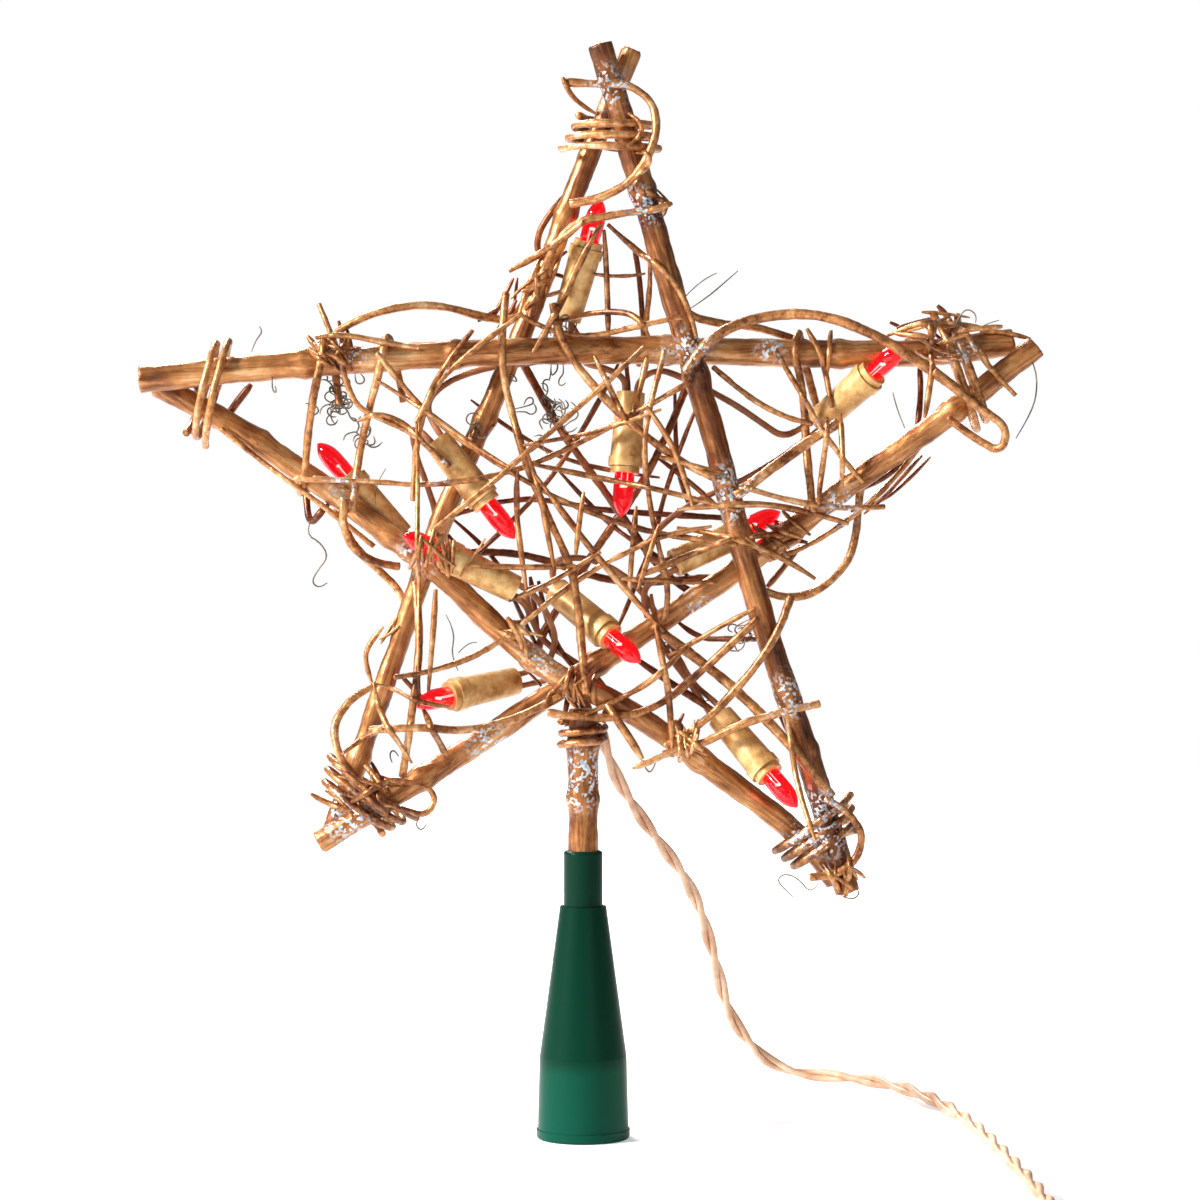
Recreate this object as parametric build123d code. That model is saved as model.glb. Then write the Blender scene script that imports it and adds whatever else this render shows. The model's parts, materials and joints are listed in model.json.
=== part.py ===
from build123d import *
import math
import os

import numpy as np

# A twig star for a tree top: five woven sticks, vines, ten small lights, a stem in a plastic socket
# and a twisted lead with its plug. Millimetres; the stem axis is Z and the front of the star faces -Y.
os.makedirs("parts", exist_ok=True)

# Scale: the star's span from tip to tip, and the pixel columns and rows that it is read from
star_span = 228.0
left_tip_column = 140
right_tip_column = 1035
axis_column = 583
floor_row = 1141
star_centre = (592, 506)
pixel = star_span / (right_tip_column - left_tip_column)

# What is woven into the star follows its span: those sizes are given for a span of 228
span_scale = star_span / 228

# Star sticks: round twigs, each woven in front of or behind the others
top_left_diameter = 5.4 * span_scale
top_right_diameter = 6.4 * span_scale
cross_diameter = 7.0 * span_scale
left_diameter = 6.0 * span_scale
right_diameter = 6.0 * span_scale
weave_gap = 0.5

# Clearances between laid pieces, and how steeply a strand may climb over what lies below it
laying_gap = 0.55
climb_share = 0.30
bend_share = 0.45
run_length = 7.5 * span_scale
sample_step = 0.8
straight_turn = math.radians(1.2)

# Vines
thick_vine_diameter = 2.7 * span_scale
vine_diameter = 2.1 * span_scale
thin_vine_diameter = 1.5 * span_scale
binding_diameter = 2.0 * span_scale
binding_turn_gap = 0.9
hook_advance = 2.6 * span_scale
corners_per_turn = 8

# Socket for the tree shoot: skirt, cone and neck, moulded in one piece
socket_rim_radius = 11.9
socket_rim_height = 2.4
socket_skirt_radius = 11.6
socket_shoulder_radius = 11.1
socket_shoulder_height = 21.0
socket_cone_top_radius = 5.9
socket_floor_height = 56.5
socket_floor_cover = 2.9
socket_cone_height = socket_floor_height + socket_floor_cover
socket_neck_radius = 4.95
socket_neck_length = 14.2
socket_height = socket_cone_height + socket_neck_length
socket_bore_radius = 10.0
socket_bore_depth = 20.0
socket_throat_radius = 4.6
socket_ledge_radius = 2.6
socket_ledge_height = 1.6
socket_rim_round = 0.7
socket_edge_round = 0.8

# Stem
stem_diameter = 7.6
stem_fit = 0.1
stem_top_row = 710
stem_binding_row = 723
stem_binding_turns = 2

# Lamp holder, its contacts and the push-in bulb
holder_length = 19.0 * span_scale
holder_diameter = 8.0 * span_scale
holder_rear_diameter = 7.2 * span_scale
collar_diameter = 8.7 * span_scale
collar_height = 2.4 * span_scale
cavity_depth = 11.4 * span_scale
wire_diameter = 1.7 * span_scale
wire_fit = 0.12
wire_hole_spacing = 3.0 * span_scale
wire_lead_out = 3.5 * span_scale
contact_thickness = 0.3
contact_width = 2.0 * span_scale
contact_fit = 0.08
contact_top_gap = 2.4 * span_scale
contact_foot = 2.2 * span_scale
base_diameter = 5.4 * span_scale
base_length = 10.4 * span_scale
base_fit = 0.15
flange_diameter = 7.4 * span_scale
flange_height = 1.6 * span_scale
seat_gap = 0.1
bulb_tail_diameter = 4.4 * span_scale
bulb_tail_depth = 4.0 * span_scale
bulb_tail_fit = 0.08
bulb_diameter = 5.2 * span_scale
bulb_shoulder_height = 7.4 * span_scale
bulb_tip_height = 12.8 * span_scale
bulb_point_radius = 0.4 * span_scale
bulge_angle = 36.0
bulb_wall = 0.5 * span_scale
bulb_floor = 1.2 * span_scale
lead_in_diameter = 0.5 * span_scale
lead_in_spacing = 2.0 * span_scale
lead_in_fit = 0.1
lead_in_height = 5.2 * span_scale
filament_diameter = 0.4 * span_scale
bead_diameter = 1.5 * span_scale
bead_height = 2.6 * span_scale
pull_travel = 8.0 * span_scale

# Lead, its coil and tie, and the plug
lead_diameter = 3.6
lead_gap = 1.2
pair_gap = 0.2
lead_exit_pixel = (601, 738)
coil_distance = 54.0
coil_outer_radius = 24.0
coil_pitch = 4.3
coil_dip = 0.9
coil_lift = 0.9
coil_turns_in = 2.0
coil_turns_up = 0.5
coil_turns_out = 1.75
tail_length = 30.0
tie_thickness = 0.8
tie_width = 4.0
tie_gap = 0.35
tie_head = 5.0
tie_angle = 300.0
plug_length = 34.0
plug_width = 22.0
plug_height = 11.0
plug_round = 4.0
plug_edge_round = 0.9
relief_diameter = 6.6
relief_length = 8.0
relief_bore_depth = 4.0
cord_fit = 0.1
grip_count = 4
grip_groove = 1.0
grip_pitch = 2.4
blade_length = 16.0
blade_seat = 8.0
blade_width = 6.3
blade_thickness = 1.5
blade_spacing = 12.7
blade_hole = 3.2
blade_hole_inset = 4.0
blade_fit = 0.05
door_width = 11.0
door_thickness = 1.6
door_tongue = 1.1
door_tongue_thickness = 0.6
door_start = 7.0
door_front_gap = 0.6
door_fit = 0.3
door_rib_count = 4
door_rib = 0.6
door_rib_width = 0.8
door_rib_pitch = 2.0
fuse_diameter = 3.6
fuse_glass_diameter = 3.2
fuse_glass_length = 5.6
fuse_cap_length = 2.2
fuse_spacing = 4.2
fuse_fit = 0.2
fuse_start = 11.0

# Stick routes in pixel columns and rows
stick_pixels = {
    "stick_top_left": [
        (632, 52), (611, 104), (570, 205), (532, 312), (482, 425), (438, 525), (404, 630),
        (363, 742), (329, 840),
    ],
    "stick_top_right": [
        (600, 49), (619, 120), (649, 224), (683, 338), (712, 434), (739, 541), (765, 632),
        (801, 738), (832, 836), (847, 893),
    ],
    "stick_cross": [
        (142, 381), (262, 369), (415, 358), (548, 353), (640, 351), (740, 354), (860, 356),
        (940, 354), (1014, 343),
    ],
    "stick_left": [
        (156, 386), (226, 422), (292, 466), (346, 502), (396, 540), (446, 578), (500, 632),
        (548, 672), (604, 697), (657, 729), (705, 766), (777, 818), (822, 861), (838, 886),
    ],
    "stick_right": [
        (1034, 348), (984, 387), (930, 430), (838, 493), (780, 542), (700, 597), (604, 660),
        (540, 703), (470, 750), (404, 790), (362, 817), (319, 843),
    ],
}
stick_diameters = {
    "stick_top_left": top_left_diameter,
    "stick_top_right": top_right_diameter,
    "stick_cross": cross_diameter,
    "stick_left": left_diameter,
    "stick_right": right_diameter,
}

# How far each of those points is woven to the back, or below zero to the front, as a share of half a stick
weave_shares = {
    "stick_top_left": [1, 1, 1, 1, 1, 1, 1, 1, 1],
    "stick_top_right": [-1, -1, -1, -1, -1, -1, -1, -1, -1, -1],
    "stick_cross": [-1, -1, -1, -1, 1, 1, 1, 1, 1],
    "stick_left": [1, 1, 0.5, -0.2, -1, -1, -1, -1, -1, -0.5, 0.3, 1, 1, 1],
    "stick_right": [-1, -1, -1, 0.3, 1, 1, 1, 1, 0.2, -1, -1, -1],
}

# Tip bindings: the pixel where the sticks cross, the turns, and the first place as a share of a stick's width
tip_pixels = {
    "binding_top": (616, 96),
    "binding_left": (160, 387),
    "binding_right": (1008, 368),
    "binding_lower_left": (338, 829),
    "binding_lower_right": (836, 876),
}
tip_turns = {
    "binding_top": 3,
    "binding_left": 2,
    "binding_right": 2,
    "binding_lower_left": 3,
    "binding_lower_right": 3,
}
tip_place_shares = {
    "binding_top": 0.9,
    "binding_left": 1.4,
    "binding_right": 1.2,
    "binding_lower_left": 0.8,
    "binding_lower_right": 0.9,
}

# Lights: the pixel of the holder's mouth, a pixel ahead of it, the lean towards the viewer and the side
front = -1
back = 1
lights = [
    ((587, 250), (610, 170), 8.0, front),
    ((868, 378), (896, 352), 28.0, front),
    ((738, 534), (778, 515), -18.0, back),
    ((625, 468), (621, 520), 6.0, front),
    ((350, 482), (326, 455), 0.0, back),
    ((484, 500), (514, 538), 5.0, front),
    ((450, 557), (418, 541), 10.0, front),
    ((606, 634), (645, 666), 30.0, front),
    ((454, 696), (422, 702), 36.0, front),
    ((765, 770), (796, 806), 24.0, front),
]

# String wires: the light that each leaves and the next, in the order of the circuit, with the pixels between
wire_routes = [
    (None, 8, [(590, 706), (562, 682)]),
    (8, 6, [(548, 668), (556, 640), (545, 612)]),
    (6, 4, [(538, 612), (522, 628), (485, 618), (440, 585), (420, 562)]),
    (4, 5, [(424, 556), (438, 530), (424, 480), (410, 440), (416, 418)]),
    (5, 0, [(423, 410), (448, 382), (500, 366), (548, 362)]),
    (0, 3, [(572, 356), (596, 372), (622, 366)]),
    (3, 1, [(650, 368), (690, 382), (745, 412), (786, 440)]),
    (1, 2, [(796, 448), (750, 478), (690, 505), (648, 540), (642, 566)]),
    (2, 9, [(646, 582), (644, 612), (665, 652), (692, 687)]),
    (9, 7, [(696, 690), (668, 640), (640, 590), (590, 560), (546, 564)]),
    (7, None, [(528, 580), (526, 608), (545, 648), (588, 672), (614, 706)]),
]

# Vine strands: the node, the diameter, the side that the strand starts on and its pixels; a stop with a third
# value hooks round the nearest stick there and goes on along the other side
hook = "hook"
vines = [
    ("vines_top_arm", vine_diameter, front,
     [(566, 88), (590, 91), (620, 89), (645, 98), (658, 124), (649, 160), (630, 187),
      (603, 202), (570, 208)]),
    ("vines_top_arm", vine_diameter, front,
     [(665, 213), (636, 216), (600, 222), (572, 228), (552, 252), (540, 285), (530, 322)]),
    ("vines_top_arm", thin_vine_diameter, back,
     [(579, 176), (556, 226), (536, 268), (521, 306), (515, 350)]),
    ("vines_top_arm", thin_vine_diameter, front,
     [(522, 318), (556, 335), (596, 338), (640, 328), (682, 320)]),
    ("vines_top_arm", thin_vine_diameter, back,
     [(636, 196), (650, 258), (647, 318), (638, 368)]),
    ("vines_left_arm", vine_diameter, back,
     [(340, 408), (327, 336, hook), (316, 400), (309, 445), (300, 497, hook)]),
    ("vines_left_arm", vine_diameter, back,
     [(404, 404), (388, 330, hook), (376, 395), (362, 448), (354, 514)]),
    ("vines_left_arm", thin_vine_diameter, front,
     [(222, 430), (262, 462), (300, 489), (338, 518), (374, 548)]),
    ("vines_left_arm", vine_diameter, front,
     [(346, 498), (346, 535), (364, 559), (400, 568)]),
    ("vines_left_arm", thin_vine_diameter, front,
     [(321, 306), (333, 335), (345, 364), (352, 398), (372, 418), (404, 428), (452, 468)]),
    ("vines_right_arm", thick_vine_diameter, front,
     [(684, 376), (704, 346), (735, 327), (770, 318), (810, 317), (846, 327), (884, 346),
      (922, 370), (958, 396), (986, 420)]),
    ("vines_right_arm", vine_diameter, front,
     [(928, 374), (962, 402), (994, 424), (1006, 441), (996, 455), (970, 440), (944, 420)]),
    ("vines_right_arm", vine_diameter, back,
     [(820, 412), (800, 331, hook), (803, 400), (806, 452), (812, 514)]),
    ("vines_right_arm", thin_vine_diameter, front,
     [(712, 368), (748, 398), (778, 416), (812, 426)]),
    ("vines_right_arm", thick_vine_diameter, front,
     [(734, 497), (775, 466), (812, 440), (838, 424)]),
    ("vines_right_arm", thin_vine_diameter, front,
     [(774, 352), (800, 396), (828, 444), (862, 484)]),
    ("vines_right_arm", thin_vine_diameter, back,
     [(932, 432), (890, 484), (850, 520), (806, 549), (768, 562)]),
    ("vines_right_arm", thin_vine_diameter, front,
     [(742, 488), (790, 502), (840, 509), (884, 508)]),
    ("vines_right_arm", thin_vine_diameter, front,
     [(958, 332), (982, 366), (1012, 398)]),
    ("vines_lower_left_arm", vine_diameter, front,
     [(378, 684), (350, 700), (335, 722), (338, 748), (356, 774), (384, 802)]),
    ("vines_lower_left_arm", vine_diameter, front,
     [(416, 582), (421, 640), (415, 705), (404, 776)]),
    ("vines_lower_left_arm", vine_diameter, front,
     [(372, 728), (425, 725), (470, 729), (515, 718), (562, 696)]),
    ("vines_lower_left_arm", thin_vine_diameter, front,
     [(396, 676), (440, 668), (494, 646), (569, 587), (612, 560)]),
    ("vines_lower_left_arm", vine_diameter, back,
     [(470, 470), (434, 556), (406, 625), (388, 690), (366, 752)]),
    ("vines_lower_left_arm", thin_vine_diameter, front,
     [(386, 778), (424, 782), (441, 797), (430, 815), (402, 806)]),
    ("vines_lower_right_arm", thick_vine_diameter, front,
     [(652, 626), (690, 655), (728, 684), (768, 722), (804, 762), (830, 796)]),
    ("vines_lower_right_arm", vine_diameter, front,
     [(790, 596), (772, 640), (736, 688), (700, 724), (664, 746)]),
    ("vines_lower_right_arm", vine_diameter, front,
     [(818, 703), (780, 711), (738, 724), (700, 744), (662, 754)]),
    ("vines_lower_right_arm", vine_diameter, front,
     [(808, 876), (838, 872), (863, 844), (848, 812), (822, 796)]),
    ("vines_lower_right_arm", vine_diameter, front,
     [(548, 712), (585, 717), (625, 716), (660, 704), (700, 672), (757, 618)]),
    ("vines_centre_front", thin_vine_diameter, front,
     [(296, 480), (366, 482), (430, 486), (500, 476), (555, 456), (618, 424), (690, 384)]),
    ("vines_centre_front", vine_diameter, front,
     [(507, 296), (503, 367), (524, 455), (550, 522), (574, 580), (586, 694)]),
    ("vines_centre_front", vine_diameter, front,
     [(553, 306), (566, 352), (620, 416), (682, 464), (730, 486)]),
    ("vines_centre_front", thin_vine_diameter, front,
     [(380, 356), (430, 416), (494, 462), (560, 500), (640, 530), (736, 546)]),
    ("vines_centre_front", thin_vine_diameter, front,
     [(434, 532), (470, 503), (512, 468), (585, 404), (644, 350)]),
    ("vines_centre_front", thin_vine_diameter, front,
     [(524, 316), (452, 372), (426, 414), (417, 462), (415, 502)]),
    ("vines_centre_front", thin_vine_diameter, front,
     [(664, 352), (644, 440), (652, 520), (668, 590), (664, 622)]),
    ("vines_centre_back", vine_diameter, back,
     [(516, 352), (560, 430), (610, 500), (660, 570), (700, 600)]),
    ("vines_centre_back", vine_diameter, back,
     [(700, 358), (650, 470), (590, 560), (540, 640), (534, 664)]),
    ("vines_centre_back", thin_vine_diameter, back,
     [(440, 520), (520, 500), (610, 512), (730, 520)]),
    ("vines_centre_back", vine_diameter, back,
     [(428, 556), (520, 556), (620, 584), (752, 576)]),
    ("vines_outer_hoops", vine_diameter, back,
     [(300, 364), (356, 322), (430, 306), (502, 322), (534, 308)]),
    ("vines_outer_hoops", vine_diameter, back,
     [(672, 300), (700, 322), (760, 328), (830, 352)]),
    ("vines_outer_hoops", vine_diameter, back,
     [(330, 492), (350, 545), (396, 590), (408, 616)]),
    ("vines_outer_hoops", vine_diameter, back,
     [(752, 588), (800, 600), (850, 560), (862, 478)]),
]

# Lead route behind the star to the floor and round to the front: shares of the span, height above the floor
lead_shares = [
    (0.030, 0.062, 0.400),
    (0.066, 0.118, 0.336),
    (0.129, 0.219, 0.247),
    (0.156, 0.296, 0.152),
    (0.176, 0.347, 0.070),
    (0.236, 0.392, 0.000),
    (0.333, 0.368, 0.000),
    (0.404, 0.237, 0.000),
    (0.439, 0.035, 0.000),
    (0.458, -0.211, 0.000),
    (0.471, -0.450, 0.000),
]


def spot(place):
    # The x and z of a pixel on the middle plane of the star
    return np.array([(place[0] - axis_column) * pixel, (floor_row - place[1]) * pixel])


def unit(vector):
    return vector / np.linalg.norm(vector)


def tidy(points):
    # Points without those at which the route runs straight on
    kept = [np.array(points[0], float)]
    for middle, after in zip(points[1:-1], points[2:]):
        before = kept[-1]
        turn = math.acos(np.clip(np.dot(unit(middle - before), unit(after - middle)), -1, 1))
        if turn > straight_turn:
            kept.append(np.array(middle, float))
    kept.append(np.array(points[-1], float))
    return kept


def bends(points):
    # The largest arc that each corner's two runs allow
    radii = []
    for before, middle, after in zip(points, points[1:], points[2:]):
        u = middle - before
        v = after - middle
        turn = math.acos(np.clip(np.dot(unit(u), unit(v)), -1, 1))
        shorter = min(np.linalg.norm(u), np.linalg.norm(v))
        radii.append(bend_share * shorter / math.tan(turn / 2))
    return radii


def trace(points, radii):
    # Points along the rounded route, close enough together to measure gaps on
    traced = [points[0]]
    for index, radius in enumerate(radii):
        before, middle, after = points[index], points[index + 1], points[index + 2]
        u = unit(middle - before)
        v = unit(after - middle)
        turn = math.acos(np.clip(np.dot(u, v), -1, 1))
        side = unit(v - np.dot(v, u) * u)
        start = middle - u * radius * math.tan(turn / 2)
        count = max(2, math.ceil(radius * turn / sample_step))
        straight = np.linalg.norm(start - traced[-1])
        for share in np.linspace(0, 1, max(2, math.ceil(straight / sample_step)))[1:]:
            traced.append(start - u * straight * (1 - share))
        for angle in np.linspace(0, turn, count)[1:]:
            traced.append(start + radius * (math.sin(angle) * u + (1 - math.cos(angle)) * side))
    last = traced[-1]
    straight = np.linalg.norm(points[-1] - last)
    for share in np.linspace(0, 1, max(2, math.ceil(straight / sample_step)))[1:]:
        traced.append(last + (points[-1] - last) * share)
    return np.array(traced)


def tube(points, diameter):
    # A round strand of straight runs and tangent arcs
    corners = tidy(points)
    radii = bends(corners)
    if radii:
        path = FilletPolyline(*[tuple(corner) for corner in corners], radius=radii)
    else:
        path = Line(tuple(corners[0]), tuple(corners[-1]))
    section = Plane(origin=path @ 0, z_dir=path % 0) * Circle(diameter / 2)
    return sweep(section, path=path), trace(corners, radii), min(radii, default=math.inf)


# The pile: points on all that is laid so far, with the radius round each and the piece that it belongs to
pile_points = np.zeros((0, 3))
pile_radii = np.zeros(0)
pile_owners = np.zeros(0, int)
owner_names = []


def add_to_pile(name, points, radii):
    global pile_points, pile_radii, pile_owners
    points = np.array(points, float)
    pile_points = np.vstack([pile_points, points])
    pile_radii = np.concatenate([pile_radii, np.broadcast_to(radii, len(points))])
    pile_owners = np.concatenate([pile_owners, np.full(len(points), len(owner_names))])
    owner_names.append(name)


def clear_outward(x, z, radius, side, skipped=()):
    # How far out on its side a point of a strand must lie to clear the pile
    reach = (radius + pile_radii + laying_gap) ** 2
    reach = reach - (pile_points[:, 0] - x) ** 2 - (pile_points[:, 2] - z) ** 2
    hit = (reach > 0) & ~np.isin(pile_owners, skipped)
    if not hit.any():
        return -math.inf
    return float((side * pile_points[hit, 1] + np.sqrt(reach[hit])).max())


def smooth_plan(anchors):
    # Even steps along a smooth curve through the anchors, ends included
    anchors = np.array(anchors)
    padded = np.vstack([2 * anchors[0] - anchors[1], anchors, 2 * anchors[-1] - anchors[-2]])
    fine = []
    for a, b, c, d in zip(padded, padded[1:], padded[2:], padded[3:]):
        for t in np.linspace(0, 1, 24, endpoint=False):
            bow = (2 * a - 5 * b + 4 * c - d) * t ** 2 + (3 * b - a - 3 * c + d) * t ** 3
            fine.append(0.5 * (2 * b + (c - a) * t + bow))
    fine.append(anchors[-1])
    fine = np.array(fine)
    travelled = np.concatenate([[0], np.cumsum(np.linalg.norm(np.diff(fine, axis=0), axis=1))])
    steps = np.linspace(0, travelled[-1], max(1, round(travelled[-1] / run_length)) + 1)
    return np.column_stack([np.interp(steps, travelled, fine[:, 0]), np.interp(steps, travelled, fine[:, 1])])


def hook_points(place, strand_radius, side, heading):
    # A half turn round the nearest stick, from one side of the star to the other
    here = spot(place)
    nearest = None
    for line, radius in stick_lines.values():
        index = int(np.argmin(np.hypot(line[:, 0] - here[0], line[:, 2] - here[1])))
        index = min(max(index, 1), len(line) - 2)
        distance = math.hypot(line[index, 0] - here[0], line[index, 2] - here[1])
        if nearest is None or distance < nearest[0]:
            nearest = (distance, line[index], unit(line[index + 1] - line[index - 1]), radius)
    distance, centre, along, radius = nearest
    outward = np.array([here[0] - centre[0], 0, here[1] - centre[2]])
    outward = unit(outward - np.dot(outward, along) * along)
    depth = np.array([0, side, 0])
    if np.dot(along, [heading[0], 0, heading[1]]) < 0:
        along = -along
    ring = (radius + strand_radius + laying_gap) / math.cos(math.pi / corners_per_turn)
    points = []
    for angle in np.linspace(math.pi / 2, -math.pi / 2, corners_per_turn // 2 + 1):
        shift = along * hook_advance * (0.5 - (angle / math.pi + 0.5))
        points.append(centre + ring * (math.cos(angle) * outward + math.sin(angle) * depth) + shift)
    return points


def lay(stops, diameter, side, start=(), end=(), skipped=()):
    # Corners of a strand that lies on the pile along the stops, with fixed corners where it hooks or plugs in
    radius = diameter / 2
    fixed = [list(start)]
    free = [[]]
    sides = [side]
    for index, stop in enumerate(stops):
        if len(stop) > 2:
            before = spot(stops[max(index - 1, 0)])
            after = spot(stops[min(index + 1, len(stops) - 1)])
            fixed.append(hook_points(stop, radius, sides[-1], after - before))
            free.append([])
            sides.append(-sides[-1])
        else:
            free[-1].append(spot(stop))
    fixed.append(list(end))
    corners = []
    for index, stretch in enumerate(free):
        lead_in = [fixed[index][-1]] if fixed[index] else []
        lead_off = [fixed[index + 1][0]] if fixed[index + 1] else []
        corners.extend(fixed[index] if index else fixed[0])
        anchors = [p[[0, 2]] for p in lead_in] + stretch + [p[[0, 2]] for p in lead_off]
        if not stretch:
            continue
        plan = smooth_plan(anchors)
        held = np.full(len(plan), np.nan)
        if lead_in:
            held[0] = sides[index] * lead_in[0][1]
        if lead_off:
            held[-1] = sides[index] * lead_off[0][1]
        out = np.zeros(len(plan))
        for k in range(len(plan) - 1):
            near_plug = bool(skipped) and (k == 0 or k == len(plan) - 2)
            for share in np.linspace(0, 1, 9):
                x, z = plan[k] + (plan[k + 1] - plan[k]) * share
                need = clear_outward(x, z, radius, sides[index], skipped if near_plug else ())
                out[k] = max(out[k], need)
                out[k + 1] = max(out[k + 1], need)
        out = np.where(np.isnan(held), out, held)
        lengths = np.linalg.norm(np.diff(plan, axis=0), axis=1)
        for _ in plan:
            for k in range(len(plan)):
                if not np.isnan(held[k]):
                    continue
                for j in (k - 1, k + 1):
                    if 0 <= j < len(plan):
                        out[k] = max(out[k], out[j] - climb_share * lengths[min(j, k)])
        for k in range(len(plan)):
            if np.isnan(held[k]):
                corners.append(np.array([plan[k][0], sides[index] * out[k], plan[k][1]]))
    corners.extend(fixed[-1])
    return corners


def own_gap(line, diameter):
    # The least gap of a wound strand to itself, leaving out its own neighbourhood
    travelled = np.concatenate([[0], np.cumsum(np.linalg.norm(np.diff(line, axis=0), axis=1))])
    least = math.inf
    for index in range(len(line)):
        far = np.abs(travelled - travelled[index]) > math.pi * diameter
        if far.any():
            least = min(least, float(np.linalg.norm(line[far] - line[index], axis=1).min()))
    return least - diameter


def turned(*profile):
    return revolve(Plane.XZ * make_face(Polyline(*profile, close=True)), Axis.Z)


def save(name, *solids):
    shape = solids[0] if len(solids) == 1 else Compound(list(solids))
    export_step(shape, f"parts/{name}.step")


# Star sticks
stick_lines = {}
for name, places in stick_pixels.items():
    diameter = stick_diameters[name]
    depth = diameter / 2 + weave_gap / 2
    corners = []
    for place, weave in zip(places, weave_shares[name]):
        x, z = spot(place)
        corners.append(np.array([x, weave * depth, z]))
    solid, line, bend = tube(corners, diameter)
    stick_lines[name] = (line, diameter / 2)
    add_to_pile(name, line, diameter / 2)
    save(name, solid)
    length = float(np.linalg.norm(np.diff(line, axis=0), axis=1).sum())
    print(name, "length", round(length, 1), "least bend", round(bend, 1))

# Tree socket
skin = turned(
    (0, 0),
    (socket_rim_radius, 0),
    (socket_rim_radius, socket_rim_height),
    (socket_skirt_radius, socket_rim_height),
    (socket_shoulder_radius, socket_shoulder_height),
    (socket_cone_top_radius, socket_cone_height),
    (socket_neck_radius, socket_cone_height),
    (socket_neck_radius, socket_height),
    (0, socket_height),
)
skin = fillet(skin.edges().group_by(Axis.Z)[0], socket_rim_round)
skin = fillet(skin.edges().group_by(Axis.Z)[-1], socket_edge_round)
stem_hole_radius = stem_diameter / 2 + stem_fit
hollow = turned(
    (0, 0),
    (socket_bore_radius, 0),
    (socket_bore_radius, socket_bore_depth),
    (socket_throat_radius, socket_floor_height),
    (socket_ledge_radius, socket_floor_height),
    (socket_ledge_radius, socket_floor_height + socket_ledge_height),
    (stem_hole_radius, socket_floor_height + socket_ledge_height),
    (stem_hole_radius, socket_height),
    (0, socket_height),
)
save("tree_socket", skin - hollow)

# Stem, standing on the ledge in the socket's neck
stem_bottom = socket_floor_height + socket_ledge_height
stem_top = float(spot((axis_column, stem_top_row))[1])
save("stem", Pos(0, 0, (stem_bottom + stem_top) / 2) * Cylinder(stem_diameter / 2, stem_top - stem_bottom))
stem_line = [(0, 0, z) for z in np.arange(stem_bottom, stem_top, sample_step)]
add_to_pile("stem", stem_line, stem_diameter / 2)


def wind(centre, along, circles, diameter, turns, first_station):
    # A binding wound round the circles, each a function of the station along the axis
    across = np.array([along[2], 0, -along[0]])
    depth = np.array([0, 1, 0])
    pitch = diameter + binding_turn_gap
    grow = 1 / math.cos(math.pi / corners_per_turn)
    points = []
    for step in range(turns * corners_per_turn + 1):
        angle = 2 * math.pi * step / corners_per_turn
        station = first_station + pitch * step / corners_per_turn
        rims = []
        for where in (station - pitch / 2, station, station + pitch / 2):
            for sideways, deep, radius in circles(where):
                for part in np.linspace(0, 2 * math.pi, 24):
                    ring = radius + diameter / 2 + laying_gap
                    rims.append((sideways + ring * math.cos(part), deep + ring * math.sin(part)))
        rims = np.array(rims)
        middle = (rims.max(axis=0) + rims.min(axis=0)) / 2
        half = (rims.max(axis=0) - rims.min(axis=0)) / 2
        spread = float(np.sqrt((((rims - middle) / half) ** 2).sum(axis=1)).max())
        reach = half * spread * grow
        flat = middle + reach * np.array([math.cos(angle), math.sin(angle)])
        points.append(centre + along * station + across * flat[0] + depth * flat[1])
    return points


# Tip bindings, each round the two sticks that cross at its tip
for name, place in tip_pixels.items():
    x, z = spot(place)
    tip = np.array([x, 0, z])
    x, z = spot(star_centre)
    along = unit(np.array([x, 0, z]) - tip)
    across = np.array([along[2], 0, -along[0]])
    near = []
    for line, radius in stick_lines.values():
        if np.linalg.norm((line - tip)[:, [0, 2]], axis=1).min() < 2 * radius:
            near.append((line, radius))

    def crossing_circles(station):
        found = []
        for line, radius in near:
            local = (line - tip) @ along
            index = int(np.argmin(np.abs(local - station)))
            found.append((float((line[index] - tip) @ across), float(line[index, 1]), radius))
        return found

    first = tip_place_shares[name] * cross_diameter
    corners = wind(tip, along, crossing_circles, binding_diameter, tip_turns[name], first)
    solid, line, bend = tube(corners, binding_diameter)
    add_to_pile(name, line, binding_diameter / 2)
    save(name, solid)
    print(name, "gap to itself", round(own_gap(line, binding_diameter), 2), "least bend", round(bend, 2))

# Stem binding
down = np.array([0, 0, -1])
x, z = spot((axis_column, stem_binding_row))
stem_circle = [(0, 0, stem_diameter / 2)]
corners = wind(np.array([0, 0, z]), down, lambda station: stem_circle, binding_diameter,
               stem_binding_turns, 0)
solid, line, bend = tube(corners, binding_diameter)
add_to_pile("stem_binding", line, binding_diameter / 2)
save("stem_binding", solid)
print("stem_binding gap to itself", round(own_gap(line, binding_diameter), 2), "least bend", round(bend, 2))

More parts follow.
